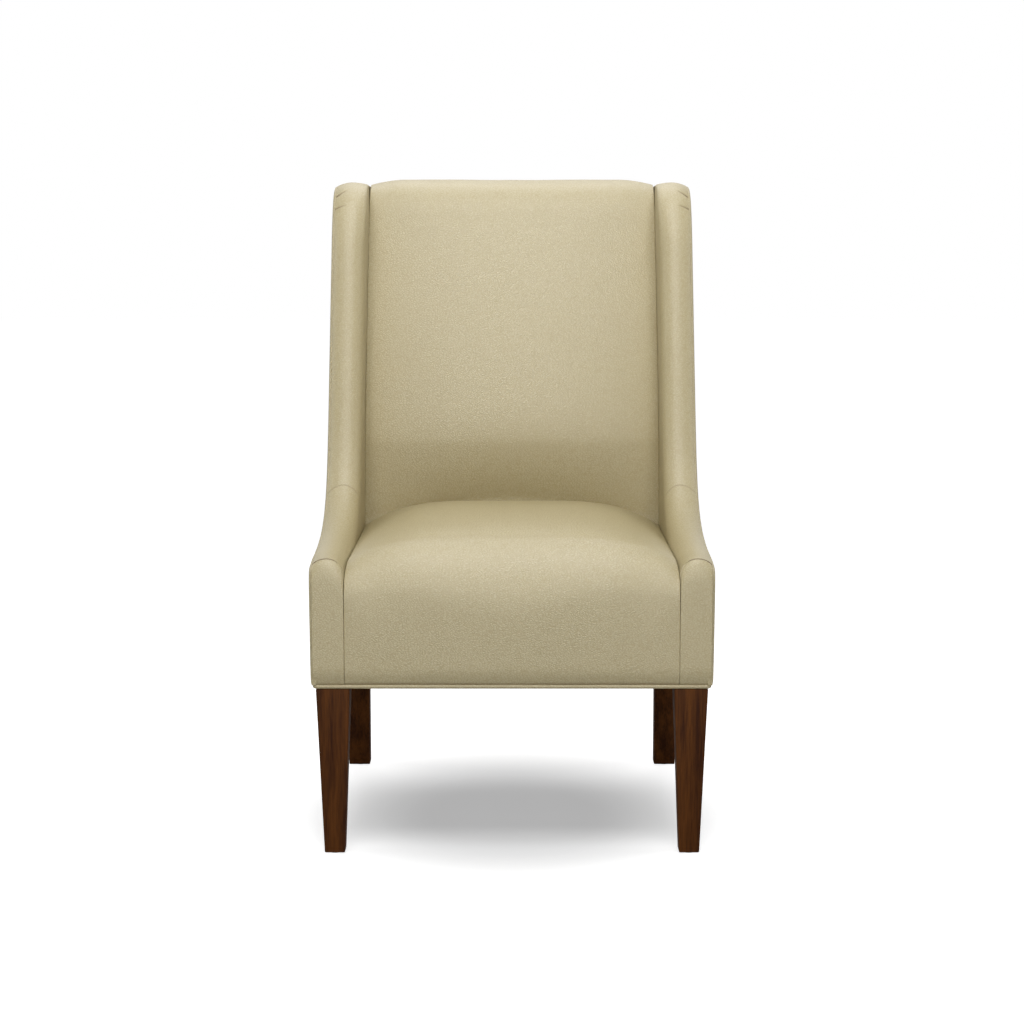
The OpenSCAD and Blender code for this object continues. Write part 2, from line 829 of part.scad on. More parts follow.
// Suspension: zigzag wire springs from rail to rail, held by clips on the rails
spring_y0 = (rail_y0 + rail_y1) / 2;
spring_y1 = rear_rail_y + rail_t / 2;
spring_pitch = (spring_y1 - spring_y0) / (spring_bars - 1);
bar_l = spring_w - spring_pitch - wire_d;
spring_xs = [for (k = [0:spring_n - 1]) (k - (spring_n - 1) / 2) * spring_gap];
module half_ring(r) {
    intersection() {
        difference() {
            circle(r=r + wire_d / 2, $fn=48);
            circle(r=r - wire_d / 2, $fn=48);
        }
        translate([0, -2 * r]) square([2 * r, 4 * r]);
    }
}
module zigzag() {
    linear_extrude(wire_d) {
        for (k = [0:spring_bars - 1])
            translate([-bar_l / 2, k * spring_pitch - wire_d / 2]) square([bar_l, wire_d]);
        for (k = [0:spring_bars - 2]) {
            side = k % 2 == 0 ? 1 : -1;
            translate([side * bar_l / 2, (k + 0.5) * spring_pitch])
                rotate(side > 0 ? 0 : 180) half_ring(spring_pitch / 2);
        }
    }
}
module seat_springs() {
    color(steel) for (x = spring_xs) translate([x, spring_y0, rail_top + clip_t]) zigzag();
}
clip_w = 16;
clip_l = 12;
module spring_clip(turn) {
    rotate([0, 0, turn]) translate([-clip_w / 2, -clip_l / 2, 0]) {
        cube([clip_w, clip_l, clip_t]);
        cube([clip_w, clip_t, 2 * clip_t + wire_d]);
        translate([0, 0, clip_t + wire_d]) cube([clip_w, clip_l / 2 + wire_d / 2, clip_t]);
    }
}
module spring_clips() {
    color(steel) for (x = spring_xs) {
        translate([x, spring_y0, rail_top]) spring_clip(0);
        translate([x, spring_y1, rail_top]) spring_clip(180);
    }
}
module deck_cloth() {
    color(webbing) translate([-seat_half + 6, rail_y0 + 1, deck_z])
        cube([2 * (seat_half - 6), seat_rear_y - rail_y0 - 4, cloth_t]);
}

// Straps over the open back frame: two upright, the rest across in front of them
function strap(z0, z1, off) = [
    [post_y0(z0) - off - strap_t, z0],
    [post_y0(z0) - off, z0],
    [post_y0(z1) - off, z1],
    [post_y0(z1) - off - strap_t, z1]
];
module back_straps_upright() {
    color(webbing) both_sides()
        across(strap(back_foot_z - small_rail_h + 4, post_top - 3, 0), strap_x, strap_x + strap_w);
}
module back_straps_cross() {
    strap_end = strap_w * 0.4;
    strap_gap = (post_top - back_foot_z - strap_w - 2 * strap_end) / (strap_n - 1);
    color(webbing) for (k = [0:strap_n - 1]) {
        z = back_foot_z + strap_end + k * strap_gap;
        across(strap(z, z + strap_w, strap_t), -panel_x0 + 4, panel_x0 - 4);
    }
}

// Dust cover under the frame, notched round the legs
module dust_cover() {
    cover_t = 0.5;
    x = panel_x1 - 12;
    y0 = welt_y0 + welt_d;
    y1 = welt_y1 - welt_d;
    notch = leg_w + 4;
    color(cambric) translate([0, 0, frame_z - cover_t]) linear_extrude(cover_t) polygon([
        [-x + notch, y0], [x - notch, y0], [x - notch, leg_front_inset + notch],
        [x, leg_front_inset + notch], [x, y1 - notch], [x - notch, y1 - notch],
        [x - notch, y1], [-x + notch, y1], [-x + notch, y1 - notch], [-x, y1 - notch],
        [-x, leg_front_inset + notch], [-x + notch, leg_front_inset + notch]
    ]);
}

// Legs: chamfered square tapers with a boss that seats inside the welt against the frame
function chamfered(x0, y0, w, d, z) = let (c = leg_chamfer) [
    [x0 + c, y0, z], [x0 + w - c, y0, z], [x0 + w, y0 + c, z], [x0 + w, y0 + d - c, z],
    [x0 + w - c, y0 + d, z], [x0 + c, y0 + d, z], [x0, y0 + d - c, z], [x0, y0 + c, z]
];
module tapered(foot, top) {
    n = len(foot);
    polyhedron(
        points=concat(foot, top),
        faces=concat(
            [[for (k = [0:n - 1]) k]],
            [[for (k = [0:n - 1]) 2 * n - 1 - k]],
            [for (k = [0:n - 1]) each split(k, n + k, n + (k + 1) % n, (k + 1) % n)]
        )
    );
}
glide_pin_d = 3;
glide_pin_h = 14;
boss_gap = 0.6;
module boss(at, size) {
    x1 = min(at[0] + size[0] - 1, welt_x - welt_r - boss_gap);
    y0 = max(at[1] + 1, welt_y0 + welt_r + boss_gap);
    y1 = min(at[1] + size[1] - 1, welt_y1 - welt_r - boss_gap);
    translate([at[0] + 1, y0, leg_h - 1]) cube([x1 - at[0] - 1, y1 - y0, frame_z - leg_h + 1]);
}
module bored_leg(foot_at, foot_size, top_at, top_size, bolt) {
    color(walnut) difference() {
        union() {
            tapered(
                chamfered(foot_at[0], foot_at[1], foot_size[0], foot_size[1], glide_t),
                chamfered(top_at[0], top_at[1], top_size[0], top_size[1], leg_h)
            );
            boss(top_at, top_size);
        }
        translate([bolt[0], bolt[1], leg_h - bolt_depth])
            cylinder(d=bolt_d + 0.2, h=bolt_depth + 20, $fn=32);
        translate([foot_at[0] + foot_size[0] / 2, foot_at[1] + foot_size[1] / 2, 0])
            cylinder(d=glide_pin_d + 0.2, h=glide_t + glide_pin_h + 0.2, $fn=24);
    }
}
front_top_at = [half_w - leg_side_inset - leg_w, leg_front_inset];
front_foot_at = [front_top_at[0] + (leg_w - foot_w) / 2 - 0.5, leg_front_inset + 7];
front_foot_size = [foot_w, foot_w];
rear_top_at = [panel_x1 - 5 - rear_leg_w, back_y(frame_z) - 55.5];
rear_foot_at = [rear_top_at[0] + 5, rear_top_at[1] + rear_leg_run];
rear_foot_size = [rear_foot_w, rear_foot_w - 2];
module leg_front() {
    bored_leg(front_foot_at, front_foot_size, front_top_at, [leg_w, leg_w], front_bolt);
}
module leg_rear() {
    bored_leg(rear_foot_at, rear_foot_size, rear_top_at, [rear_leg_w, rear_leg_w + 1], rear_bolt);
}

module bolt_at(at) {
    top = frame_z + block_h - 6;
    translate([at[0], at[1], leg_h - bolt_depth + 0.3])
        cylinder(d=bolt_d, h=top - leg_h + bolt_depth, $fn=32);
}
module hanger_bolts() {
    color(steel) both_sides() {
        bolt_at(front_bolt);
        bolt_at(rear_bolt);
    }
}
module tee_nut_at(at) {
    translate([at[0], at[1], frame_z]) difference() {
        union() {
            cylinder(d=nut_flange_d, h=nut_flange_t, $fn=48);
            cylinder(d=nut_barrel_d, h=nut_barrel_h, $fn=32);
        }
        translate([0, 0, -1]) cylinder(d=bolt_d + 0.2, h=nut_barrel_h + 2, $fn=32);
    }
}
module tee_nuts() {
    color(steel) both_sides() {
        tee_nut_at(front_bolt);
        tee_nut_at(rear_bolt);
    }
}
module glide_at(at, size) {
    translate([at[0] + size[0] / 2, at[1] + size[1] / 2, 0]) rotate_extrude($fn=48) polygon([
        [0, 0], [glide_d / 2 - 1, 0], [glide_d / 2, 1], [glide_d / 2, glide_t],
        [glide_pin_d / 2, glide_t], [glide_pin_d / 2, glide_t + glide_pin_h], [0, glide_t + glide_pin_h]
    ]);
}
module glides() {
    color(nylon) both_sides() {
        glide_at(front_foot_at, front_foot_size);
        glide_at(rear_foot_at, rear_foot_size);
    }
}

module left() {
    mirror([1, 0, 0]) children();
}

centred() front_rail();
centred() rear_rail();
centred() left() side_rail();  // side_rail_left
centred() side_rail();  // side_rail_right
centred() left() wing_panel();  // wing_panel_left
centred() wing_panel();  // wing_panel_right
centred() left() back_post();  // back_post_left
centred() back_post();  // back_post_right
centred() top_rail();
centred() lower_back_rail();
centred() front_leg_blocks();
centred() rear_leg_blocks();
centred() rail_dowels();
centred() block_screws();
centred() seat_springs();
centred() spring_clips();
centred() deck_cloth();
centred() back_straps_upright();
centred() back_straps_cross();
centred() seat_foam();
centred() back_foam();
centred() left() wing_foam();  // wing_foam_left
centred() wing_foam();  // wing_foam_right
centred() left() arm_front_pad();  // arm_front_pad_left
centred() arm_front_pad();  // arm_front_pad_right
centred() left() side_padding();  // side_padding_left
centred() side_padding();  // side_padding_right
centred() outside_back_padding();
centred() seat_cover();
centred() inside_back_cover();
centred() left() wing_cover();  // wing_cover_left
centred() wing_cover();  // wing_cover_right
centred() left() arm_front_panel();  // arm_front_panel_left
centred() arm_front_panel();  // arm_front_panel_right
centred() left() outside_panel();  // outside_panel_left
centred() outside_panel();  // outside_panel_right
centred() outside_back_panel();
centred() welt_across(welt_y0);  // welt_front
centred() welt_across(welt_y1);  // welt_rear
centred() welt_along(-1);  // welt_left
centred() welt_along(1);  // welt_right
centred() dust_cover();
centred() left() leg_front();  // leg_front_left
centred() leg_front();  // leg_front_right
centred() left() leg_rear();  // leg_rear_left
centred() leg_rear();  // leg_rear_right
centred() hanger_bolts();
centred() tee_nuts();
centred() glides();
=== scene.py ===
import json
import math

import bpy
import numpy as np
from mathutils import Matrix, Vector


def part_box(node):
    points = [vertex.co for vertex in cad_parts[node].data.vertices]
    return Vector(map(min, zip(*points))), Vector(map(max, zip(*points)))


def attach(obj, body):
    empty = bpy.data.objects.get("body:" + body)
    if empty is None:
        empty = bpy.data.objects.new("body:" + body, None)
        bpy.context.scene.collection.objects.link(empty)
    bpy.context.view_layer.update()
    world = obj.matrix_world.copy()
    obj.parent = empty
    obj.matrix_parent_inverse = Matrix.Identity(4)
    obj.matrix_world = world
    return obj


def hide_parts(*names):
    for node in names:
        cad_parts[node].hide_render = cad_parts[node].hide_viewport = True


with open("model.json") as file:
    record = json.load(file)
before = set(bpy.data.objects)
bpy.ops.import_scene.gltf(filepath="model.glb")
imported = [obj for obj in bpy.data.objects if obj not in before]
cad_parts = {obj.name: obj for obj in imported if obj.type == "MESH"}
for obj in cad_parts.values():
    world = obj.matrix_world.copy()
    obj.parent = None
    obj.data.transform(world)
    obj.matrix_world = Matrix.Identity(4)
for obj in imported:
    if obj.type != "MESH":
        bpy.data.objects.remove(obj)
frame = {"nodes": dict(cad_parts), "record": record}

bpy.ops.object.select_all(action="DESELECT")
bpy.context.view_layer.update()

# Shapes are worked out in millimetres, with depths counted from the chair's front plane back.
# place() turns them to the frame's metres
MM = 0.001


def low(name):
    """Lowest x, y and z of a CAD node"""
    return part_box(name)[0] / MM


def high(name):
    """Highest x, y and z of a CAD node"""
    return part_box(name)[1] / MM


# Sizes of the chair from its CAD nodes. Some covers stop SEAM_GAP short of their seam, and the
# leather hangs HEM_DROP below the frame
SEAM_GAP = 0.8
HEM_DROP = 4.4
FRONT_Y = low("arm_front_panel_right").y
HALF_W = high("outside_panel_right").x
CHAIR_H = high("inside_back_cover").z
WING_H = high("wing_cover_right").z
ARM_H = high("arm_front_panel_right").z + SEAM_GAP
SEAT_H = high("seat_cover").z
SEAT_D = high("seat_cover").y - FRONT_Y + SEAM_GAP
FRAME_Z = low("front_rail").z
HEM_Z = FRAME_Z - HEM_DROP
RAIL_TOP = high("front_rail").z
POST_TOP = high("top_rail").z
PANEL_X0 = low("wing_panel_right").x
PANEL_X1 = high("wing_panel_right").x
# The outside back is CHAIR_D deep at RAKE_DROP under the top, and leans from there. The back
# posts and the webbing over them are this far in front of it
CHAIR_D = 680
RAKE_DROP = 22
BACK_RAKE = 9
POST_FRONT = 71
WEBBING_FRONT = 75
# Hidden sides of the padded pieces: their gap to the frame, and how much narrower they are
HIDDEN_GAP = 0.3
HIDDEN_IN = 2


def place(points):
    """Points in millimetres from the front plane, as the frame's metres"""
    return (np.asarray(points, float) + (0, FRONT_Y, 0)) * MM


def mix(a, b, t):
    return a + (b - a) * t


def part_way(value, start, end):
    """How far a value is from start to end, held between 0 and 1"""
    return np.clip((value - start) / (end - start), 0, 1)


def ease(t):
    """0 to 1, with a level start and end"""
    t = np.clip(t, 0, 1)
    return t * t * (3 - 2 * t)


def bell(t):
    """1 at 0, falling to almost nothing by 2 on either side"""
    return np.exp(-t ** 2)


def fading(away, depth, run, power):
    """A depth that fades to nothing over a run, ever more gently"""
    return depth * np.clip(1 - away / run, 0, 1) ** power


def cubic(a, b, c, d, t):
    """A cubic curve from a to d, pulled towards b and c"""
    return (1 - t) ** 3 * a + 3 * t * (1 - t) ** 2 * b + 3 * t * t * (1 - t) * c + t ** 3 * d


def stack(x, y, z):
    """Points over a shared grid, from their three coordinates"""
    return np.stack(np.broadcast_arrays(x, y, z), axis=-1).astype(float)


def unit(vectors):
    return vectors / np.maximum(np.linalg.norm(vectors, axis=-1, keepdims=True), 1e-9)


# Camera: the photograph's view, a little above the arms and looking slightly down
CAMERA_AHEAD = 3400
CAMERA_H = 966.5
CAMERA_PITCH = 7.2
CAMERA_LENS = 79.24


def make_camera():
    spot = place([0, -CAMERA_AHEAD, CAMERA_H])
    bpy.ops.object.camera_add(location=spot, rotation=(math.radians(90 - CAMERA_PITCH), 0, 0))
    camera = bpy.context.object
    camera.name = "camera"
    camera.data.lens = CAMERA_LENS
    camera.data.sensor_width = 36
    bpy.context.scene.camera = camera


# Outline of the chair's side. EDGE_PAD is the padding over the plywood's edge, EDGE_TURN how far
# in the outside panels' seams lie, and FOLD_Y where the arm's leather folds down over its front
WING_T = 57.4
WING_LEAN = 6.6
EDGE_PAD = 19.7
EDGE_TURN = 4.0
FOLD_Y = 12
ARM_FLARE = 4.3
FLARE_RUN = 80
# The padded roll: how far its ridge is inside the outside panel at the arm's front end, along
# the wing and on its top, and how deep it falls from the ridge to its outside and inner edges.
# On the wing's top it is a flatter arch, which turns down only near its inner edge
INSET_FRONT = 27
INSET_WING = 30.5
INSET_TOP = 31
INSET_RUN = 250
ROLL_FALLS = (21, 27)
TOP_FALLS = (8.6, 3.0)
TOP_TURN = 0.8
TOP_TURN_FROM = 0.88
# The seam between the inside back and the wing rises straight from the seat, then bends back
SEAM_BEND_Z = 600
SEAM_TOP_Z = CHAIR_H - 38
SEAM_RUN = 96


def side_x(z):
    """Half width over the outside panels at a height"""
    return HALF_W - WING_LEAN * np.maximum(0, (z - ARM_H) / (WING_H - ARM_H))


def inner_x(z):
    """Half width between the wings at a height"""
    return side_x(z) - WING_T


def flare(y):
    """Outward shift of the arms' inner faces and the seat's sides towards the front"""
    return fading(y - FOLD_Y, ARM_FLARE, FLARE_RUN, 2)


def back_y(z):
    """Depth of the outside back at a height"""
    return CHAIR_D - (CHAIR_H - RAKE_DROP - z) * math.tan(math.radians(BACK_RAKE))


def seam_y(z):
    """Depth of the seam between the inside back and the wing at a height"""
    rise = np.maximum(0, (z - SEAM_BEND_Z) / (SEAM_TOP_Z - SEAM_BEND_Z))
    return SEAT_D + SEAM_RUN * rise ** 1.3


def bezier(points, steps):
    """Points along a cubic curve that is given by its two ends and the two between them"""
    return cubic(*(np.array(p, float) for p in points), np.linspace(0, 1, steps)[:, None])


def line(a, b, steps):
    return mix(np.array(a, float), np.array(b, float), np.linspace(0, 1, steps)[:, None])


def lengths(path):
    """Distance along a path to each of its points"""
    return np.concatenate([[0], np.cumsum(np.linalg.norm(np.diff(path, axis=0), axis=1))])


def eased(path, step=2.0, passes=60):
    """The path in even steps, with its corners rounded a little"""
    s = lengths(path)
    even = np.linspace(0, s[-1], int(s[-1] / step) + 1)
    path = np.stack([np.interp(even, s, path[:, k]) for k in range(path.shape[1])], axis=1)
    for _ in range(passes):
        path[1:-1] = (path[:-2] + 2 * path[1:-1] + path[2:]) / 4
    return path


# Ridge of the roll from the arm's front end to the wing's rear, as (depth, height)
SWOOP_START = (SEAT_D * 0.13, ARM_H + 6)
SWOOP_END = (SEAT_D - 87, ARM_H + 216)
SWOOP = (
    SWOOP_START,
    (SWOOP_END[0] - 51, ARM_H + 14),
    (SWOOP_END[0] - 36, ARM_H + 66),
    SWOOP_END,
)
SHOULDER = (SEAT_D - 31, WING_H - 111)
TOP_FRONT = (SHOULDER[0] + 98, WING_H)
CORNER = (SHOULDER, (SHOULDER[0] + 16, WING_H - 40), (SHOULDER[0] + 43, WING_H - 4), TOP_FRONT)
TOP_REAR = (back_y(WING_H - 15) - 2, WING_H - 5)

RIDGE = eased(np.concatenate([
    line((FOLD_Y, ARM_H), SWOOP_START, 20)[:-1],
    bezier(SWOOP, 200)[:-1],
    line(SWOOP_END, SHOULDER, 60)[:-1],
    bezier(CORNER, 100)[:-1],
    line(TOP_FRONT, TOP_REAR, 60),
]))
RIDGE_S = lengths(RIDGE)
RIDGE_LENGTH = RIDGE_S[-1]
RIDGE_IN = unit(np.gradient(RIDGE, axis=0))[:, ::-1] * (1, -1)


def nearest(point):
    """How far along the ridge the nearest place to a point is"""
    return RIDGE_S[np.argmin(np.linalg.norm(RIDGE - point, axis=1))]


# Distances along the ridge to a place on the swoop, the wing's top corner and its top
SWOOP_S = nearest(cubic(*np.array(SWOOP), 2 / 3))
CORNER_S = nearest(SHOULDER)
TOP_S = nearest(TOP_FRONT)


def on_ridge(s):
    """Ridge point and inward direction, each as (depth, height), at distances along it"""
    point = [np.interp(s, RIDGE_S, RIDGE[:, k]) for k in (0, 1)]
    into = [np.interp(s, RIDGE_S, RIDGE_IN[:, k]) for k in (0, 1)]
    return point, into


def at_top(s):
    """0 below the wing's top corner, 1 on its top"""
    return part_way(s, CORNER_S, TOP_S)


def ridge_inset(s):
    """How far the ridge is inside the outside panel"""
    along = mix(INSET_FRONT, INSET_WING, np.clip(s / INSET_RUN, 0, 1))
    return along + (INSET_TOP - INSET_WING) * at_top(s)


def roll_section(s, v):
    """The roll's section at a distance along its ridge, over v from the outside seam inwards

    Returns the place across the ridge, from 1 outside to -1 at the inner face, how far the ridge
    is inside the outside panel, and the depth below the ridge.
    """
    inset = ridge_inset(s)
    seam = np.arccos((inset - EDGE_TURN) / inset)
    angle = mix(seam, math.pi, np.clip(v, 0, 1))
    across = np.cos(angle)
    rolled = np.where(across > 0, *ROLL_FALLS) * (1 - np.sin(angle))
    arched = np.where(across > 0, *TOP_FALLS) * across ** 2
    turn = part_way(-across, TOP_TURN_FROM, 1)
    arched = arched + TOP_TURN * (1 - np.sqrt(1 - turn ** 2))
    return across, inset, mix(rolled, arched, at_top(s))


# Padded pieces. Each is a grid of points over its leather face and one of its hidden side. At a
# seam the leather rolls in over a quarter turn, and its very edge is sunk a little more
SEAM_ANGLES = (0, 0, 22, 45, 67, 90)
SEAM_SINK = 0.4
# Cloth solver: a pad starts smaller by its cap, and its leather moves SWELL_REACH caps at most
SWELL_GRID = 9
SWELL_EDGE = 45
SWELL_PRESSURE = 4
SWELL_STRETCH = 0.012
SWELL_FRAMES = 20
SWELL_REACH = 1.15
SWELL_PASSES = 12


def axis(length, step, start, end, extra=()):
    """Fractions along one side of a face, with the depth that each is drawn in at the seams

    start and end are the radius with which the leather rolls into the seam at either end.
    """
    fractions, drops = [], []
    angles = np.radians(SEAM_ANGLES)
    for radius, side in ((start, 0), (end, 1)):
        away = radius * (1 - np.cos(angles)) / length
        sunk = radius * (1 - np.sin(angles))
        sunk[0] += SEAM_SINK
        fractions.append(away if side == 0 else (1 - away)[::-1])
        drops.append(sunk if side == 0 else sunk[::-1])
    first, last = fractions[0][-1], fractions[1][0]
    inner = np.linspace(first, last, max(3, int(length / step)) + 1)[1:-1]
    inner = np.unique(np.concatenate([inner, [f for f in extra if first < f < last]]))
    fractions = np.concatenate([fractions[0], inner, fractions[1]])
    drops = np.concatenate([drops[0], np.zeros(len(inner)), drops[1]])
    return fractions, drops


def normals(surface, u, v):
    """Outward directions of a surface given as a function of two fractions"""
    e = 1e-3
    u0, u1 = np.clip(u - e, 0, 1), np.clip(u + e, 0, 1)
    v0, v1 = np.clip(v - e, 0, 1), np.clip(v + e, 0, 1)
    along_u = surface(u1, v) - surface(u0, v)
    along_v = surface(u, v1) - surface(u, v0)
    return unit(np.cross(along_u, along_v))


def grid_mesh(name, face, back):
    """A closed mesh between a grid of face points and one of back points"""
    rows, cols = face.shape[:2]
    total = rows * cols
    index = np.arange(total).reshape(rows, cols)
    corners = index[:-1, :-1], index[1:, :-1], index[1:, 1:], index[:-1, 1:]
    front = np.stack([corner.ravel() for corner in corners], axis=1)
    rear = front[:, ::-1] + total
    rim = np.concatenate([index[0, :], index[1:, -1], index[-1, -2::-1], index[-2:0:-1, 0]])
    after = np.roll(rim, -1)
    sides = np.stack([rim, after, after + total, rim + total], axis=1)
    faces = np.concatenate([front, rear, sides])
    mesh = bpy.data.meshes.new(name)
    points = np.concatenate([face.reshape(-1, 3), back.reshape(-1, 3)])
    mesh.from_pydata(place(points).tolist(), [], faces.tolist())
    mesh.update()
    piece = bpy.data.objects.new(name, mesh)
    bpy.context.scene.collection.objects.link(piece)
    return piece


def swell(name, surface, hidden, size, cap):
    """How far the cloth solver moves a pad's leather when its filling presses out

    Returns the fractions of the solved grid and the moves there, in millimetres. The pad's
    seams and hidden side are held.
    """
    counts = [int(side / SWELL_GRID) + 2 for side in size]
    u, v = (np.linspace(0, 1, count) for count in counts)
    uu, vv = u[:, None], v[None, :]
    face = surface(uu, vv)
    moves = np.zeros_like(face)
    from_seam = np.minimum(
        np.minimum(uu, 1 - uu) * size[0] + 0 * vv, np.minimum(vv, 1 - vv) * size[1] + 0 * uu
    )
    shrink = cap * ease(from_seam / SWELL_EDGE)
    start = face - normals(surface, uu, vv) * shrink[..., None]
    pad = grid_mesh(name, start, hidden(uu, vv))
    rows, cols = face.shape[:2]
    index = np.arange(rows * cols).reshape(rows, cols)
    free = set(index[1:-1, 1:-1].ravel().tolist())
    held = pad.vertex_groups.new(name="held")
    held.add([k for k in range(2 * rows * cols) if k not in free], 1.0, "REPLACE")
    cloth = pad.modifiers.new("cloth", "CLOTH")
    cloth.settings.vertex_group_mass = "held"
    cloth.settings.use_pressure = True
    cloth.settings.uniform_pressure_force = SWELL_PRESSURE
    cloth.settings.effector_weights.gravity = 0
    cloth.settings.shrink_min = -SWELL_STRETCH
    cloth.point_cache.frame_start = 1
    cloth.point_cache.frame_end = SWELL_FRAMES
    for number in range(1, SWELL_FRAMES + 1):
        bpy.context.scene.frame_set(number)
    solved = pad.evaluated_get(bpy.context.evaluated_depsgraph_get()).data
    points = np.zeros(len(solved.vertices) * 3, np.float32)
    solved.vertices.foreach_get("co", points)
    bpy.data.objects.remove(pad)
    bpy.context.scene.frame_set(1)
    points = points.reshape(-1, 3)[: rows * cols].reshape(rows, cols, 3) / MM - (0, FRONT_Y, 0)
    moves = points - start
    far = np.linalg.norm(moves, axis=-1, keepdims=True) / (cap * SWELL_REACH)
    moves = moves * np.tanh(far) / np.maximum(far, 1e-6)
    moves = start + moves - face
    for _ in range(SWELL_PASSES):
        moves[1:-1] = (moves[:-2] + 2 * moves[1:-1] + moves[2:]) / 4
        moves[:, 1:-1] = (moves[:, :-2] + 2 * moves[:, 1:-1] + moves[:, 2:]) / 4
    return u, v, moves


def resampled(moves, u0, v0, u, v):
    """A grid of moves read at other fractions"""
    across = np.stack([
        [np.interp(v, v0, row[:, k]) for row in moves] for k in range(3)
    ], axis=-1)
    return np.stack([
        np.stack([np.interp(u, u0, across[:, j, k]) for j in range(len(v))], axis=1)
        for k in range(3)
    ], axis=-1)


def padded_piece(
    name, surface, hidden, size, u_axis, v_axis, cap, fill, replaced,
    groove=None, held_edge=None, marks=None, levels=1,
):
    """One padded piece: its form, swelled by the cloth solver and drawn in along its seams

    groove adds to the depth of the face, held_edge eases its seams, and the third of these gives
    the painted shade: how much darker the leather's colour is made in its creases and seams,
    where shade falls.
    """
    (u, u_drop), (v, v_drop) = u_axis, v_axis
    u0, v0, moves = swell(name, surface, hidden, size, cap)
    uu, vv = u[:, None], v[None, :]
    face = surface(uu, vv) + resampled(moves, u0, v0, u, v)
    drop = np.maximum(u_drop[:, None], v_drop[None, :])
    if held_edge is not None:
        drop = drop * held_edge(uu, vv)
    if groove is not None:
        drop = drop + groove(uu, vv)
    face = face - normals(surface, uu, vv) * drop[..., None]
    piece = grid_mesh(name, face, hidden(uu, vv))
    # Painted shade for the points of the face; the hidden side gets none
    dark = np.zeros((2, len(u), len(v)))
    if marks is not None:
        dark[0] = marks(uu, vv)
    paint_crease_shade(piece, dark.ravel())
    subdivide(piece, levels)
    smooth(piece)
    dress(piece, "leather", replaced)
    return piece


def padded_pair(name, surface, hidden, size, u_axis, v_axis, cap, fill, replaced, **more):
    """A padded piece on the right and its twin on the left"""
    right = padded_piece(
        f"{name}_right", surface, hidden, size, u_axis, v_axis, cap, fill,
        [f"{part}_right" for part in replaced], **more,
    )
    mirror_piece(right, f"{name}_left", [f"{part}_left" for part in replaced])


def mirror_piece(right, name, replaced):
    """The left-hand twin of a right-hand piece, with its own mesh"""
    left = bpy.data.objects.new(name, right.data.copy())
    left.data.name = name
    left.data.transform(Matrix.Scale(-1, 4, (1, 0, 0)))
    bpy.context.scene.collection.objects.link(left)
    select_only(left)
    bpy.ops.object.mode_set(mode="EDIT")
    bpy.ops.mesh.select_all(action="SELECT")
    bpy.ops.mesh.remove_doubles(threshold=1e-6)
    bpy.ops.mesh.normals_make_consistent(inside=False)
    bpy.ops.object.mode_set(mode="OBJECT")
    dress(left, "leather", replaced)


def paint_crease_shade(piece, values):
    """Stores for each point how much painted shade the leather's material lays on it, where shade
    falls in seams and creases
    """
    creases = piece.data.attributes.new("painted_crease_shade", "FLOAT", "POINT")
    creases.data.foreach_set("value", values)


def subdivide(piece, levels):
    if levels:
        select_only(piece)
        modifier = piece.modifiers.new("smooth", "SUBSURF")
        modifier.levels = levels
        modifier.render_levels = levels
        bpy.ops.object.modifier_apply(modifier=modifier.name)


def smooth(piece, angle=None):
    """Shades a piece smooth, or only over edges under an angle"""
    select_only(piece)
    if angle:
        bpy.ops.object.shade_smooth_by_angle(angle=math.radians(angle))
    else:
        bpy.ops.object.shade_smooth()


def dress(piece, material, replaced=()):
    """Gives a piece its material and slot, its body and the nodes that it stands for"""
    piece.data.materials.clear()
    piece.data.materials.append(MATERIALS[material])
    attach(piece, "root")
    if replaced:
        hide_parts(*replaced)


def select_only(piece):
    bpy.ops.object.select_all(action="DESELECT")
    piece.select_set(True)
    bpy.context.view_layer.objects.active = piece


# The leather turns in over the frame's bottom edge, and just above the welt a line of painted
# shade darkens it
FOOT_TURN = 7
FOOT_TURN_H = 30
FOOT_SHADE = 0.75
FOOT_SHADE_H = 1.5


def foot_turn(z):
    return fading(z - HEM_Z, FOOT_TURN, FOOT_TURN_H, 2.2)


def foot_shade(up):
    return FOOT_SHADE * bell(up / FOOT_SHADE_H)


# Wings and arms: a roll over the edge of the panel, then the inner face down to its tuck
ROLL_PART = 0.42
WING_SECTION = 170
TUCK_Z = RAIL_TOP + 0.5
TUCK_TOP_Z = POST_TOP + 2
TUCK_FRONT = WEBBING_FRONT + 0.2
TUCK_REAR_Y = TOP_REAR[0] - 8


def tuck(s):
    """Hidden end of the wing's inner face: over the side rail, up the back post, then back"""
    z = np.interp(s, [SWOOP_S, TOP_S], [TUCK_Z, TUCK_TOP_Z])
    rail_y = np.interp(s, [0, SWOOP_S], [FOLD_Y, back_y(TUCK_Z) - TUCK_FRONT])
    post_y = back_y(z) - TUCK_FRONT
    top_y = np.interp(s, [TOP_S, RIDGE_LENGTH], [back_y(TUCK_TOP_Z) - TUCK_FRONT, TUCK_REAR_Y])
    return np.where(s < SWOOP_S, rail_y, np.where(s > TOP_S, top_y, post_y)), z


def wing_face(u, v):
    s = u * RIDGE_LENGTH
    (y, z), (into_y, into_z) = on_ridge(s)
    across, inset, depth = roll_section(s, v / ROLL_PART)
    roll_y, roll_z = y + into_y * depth, z + into_z * depth
    reach = np.where(across > 0, inset, WING_T - inset - flare(roll_y))
    roll_x = side_x(roll_z) - inset + reach * across
    tuck_y, tuck_z = tuck(s)
    down = part_way(v, ROLL_PART, 1)
    end_y, end_z = mix(roll_y, tuck_y, down), mix(roll_z, tuck_z, down)
    rolled = v <= ROLL_PART
    return stack(
        np.where(rolled, roll_x, inner_x(end_z) + flare(end_y)),
        np.where(rolled, roll_y, end_y),
        np.where(rolled, roll_z, end_z),
    )


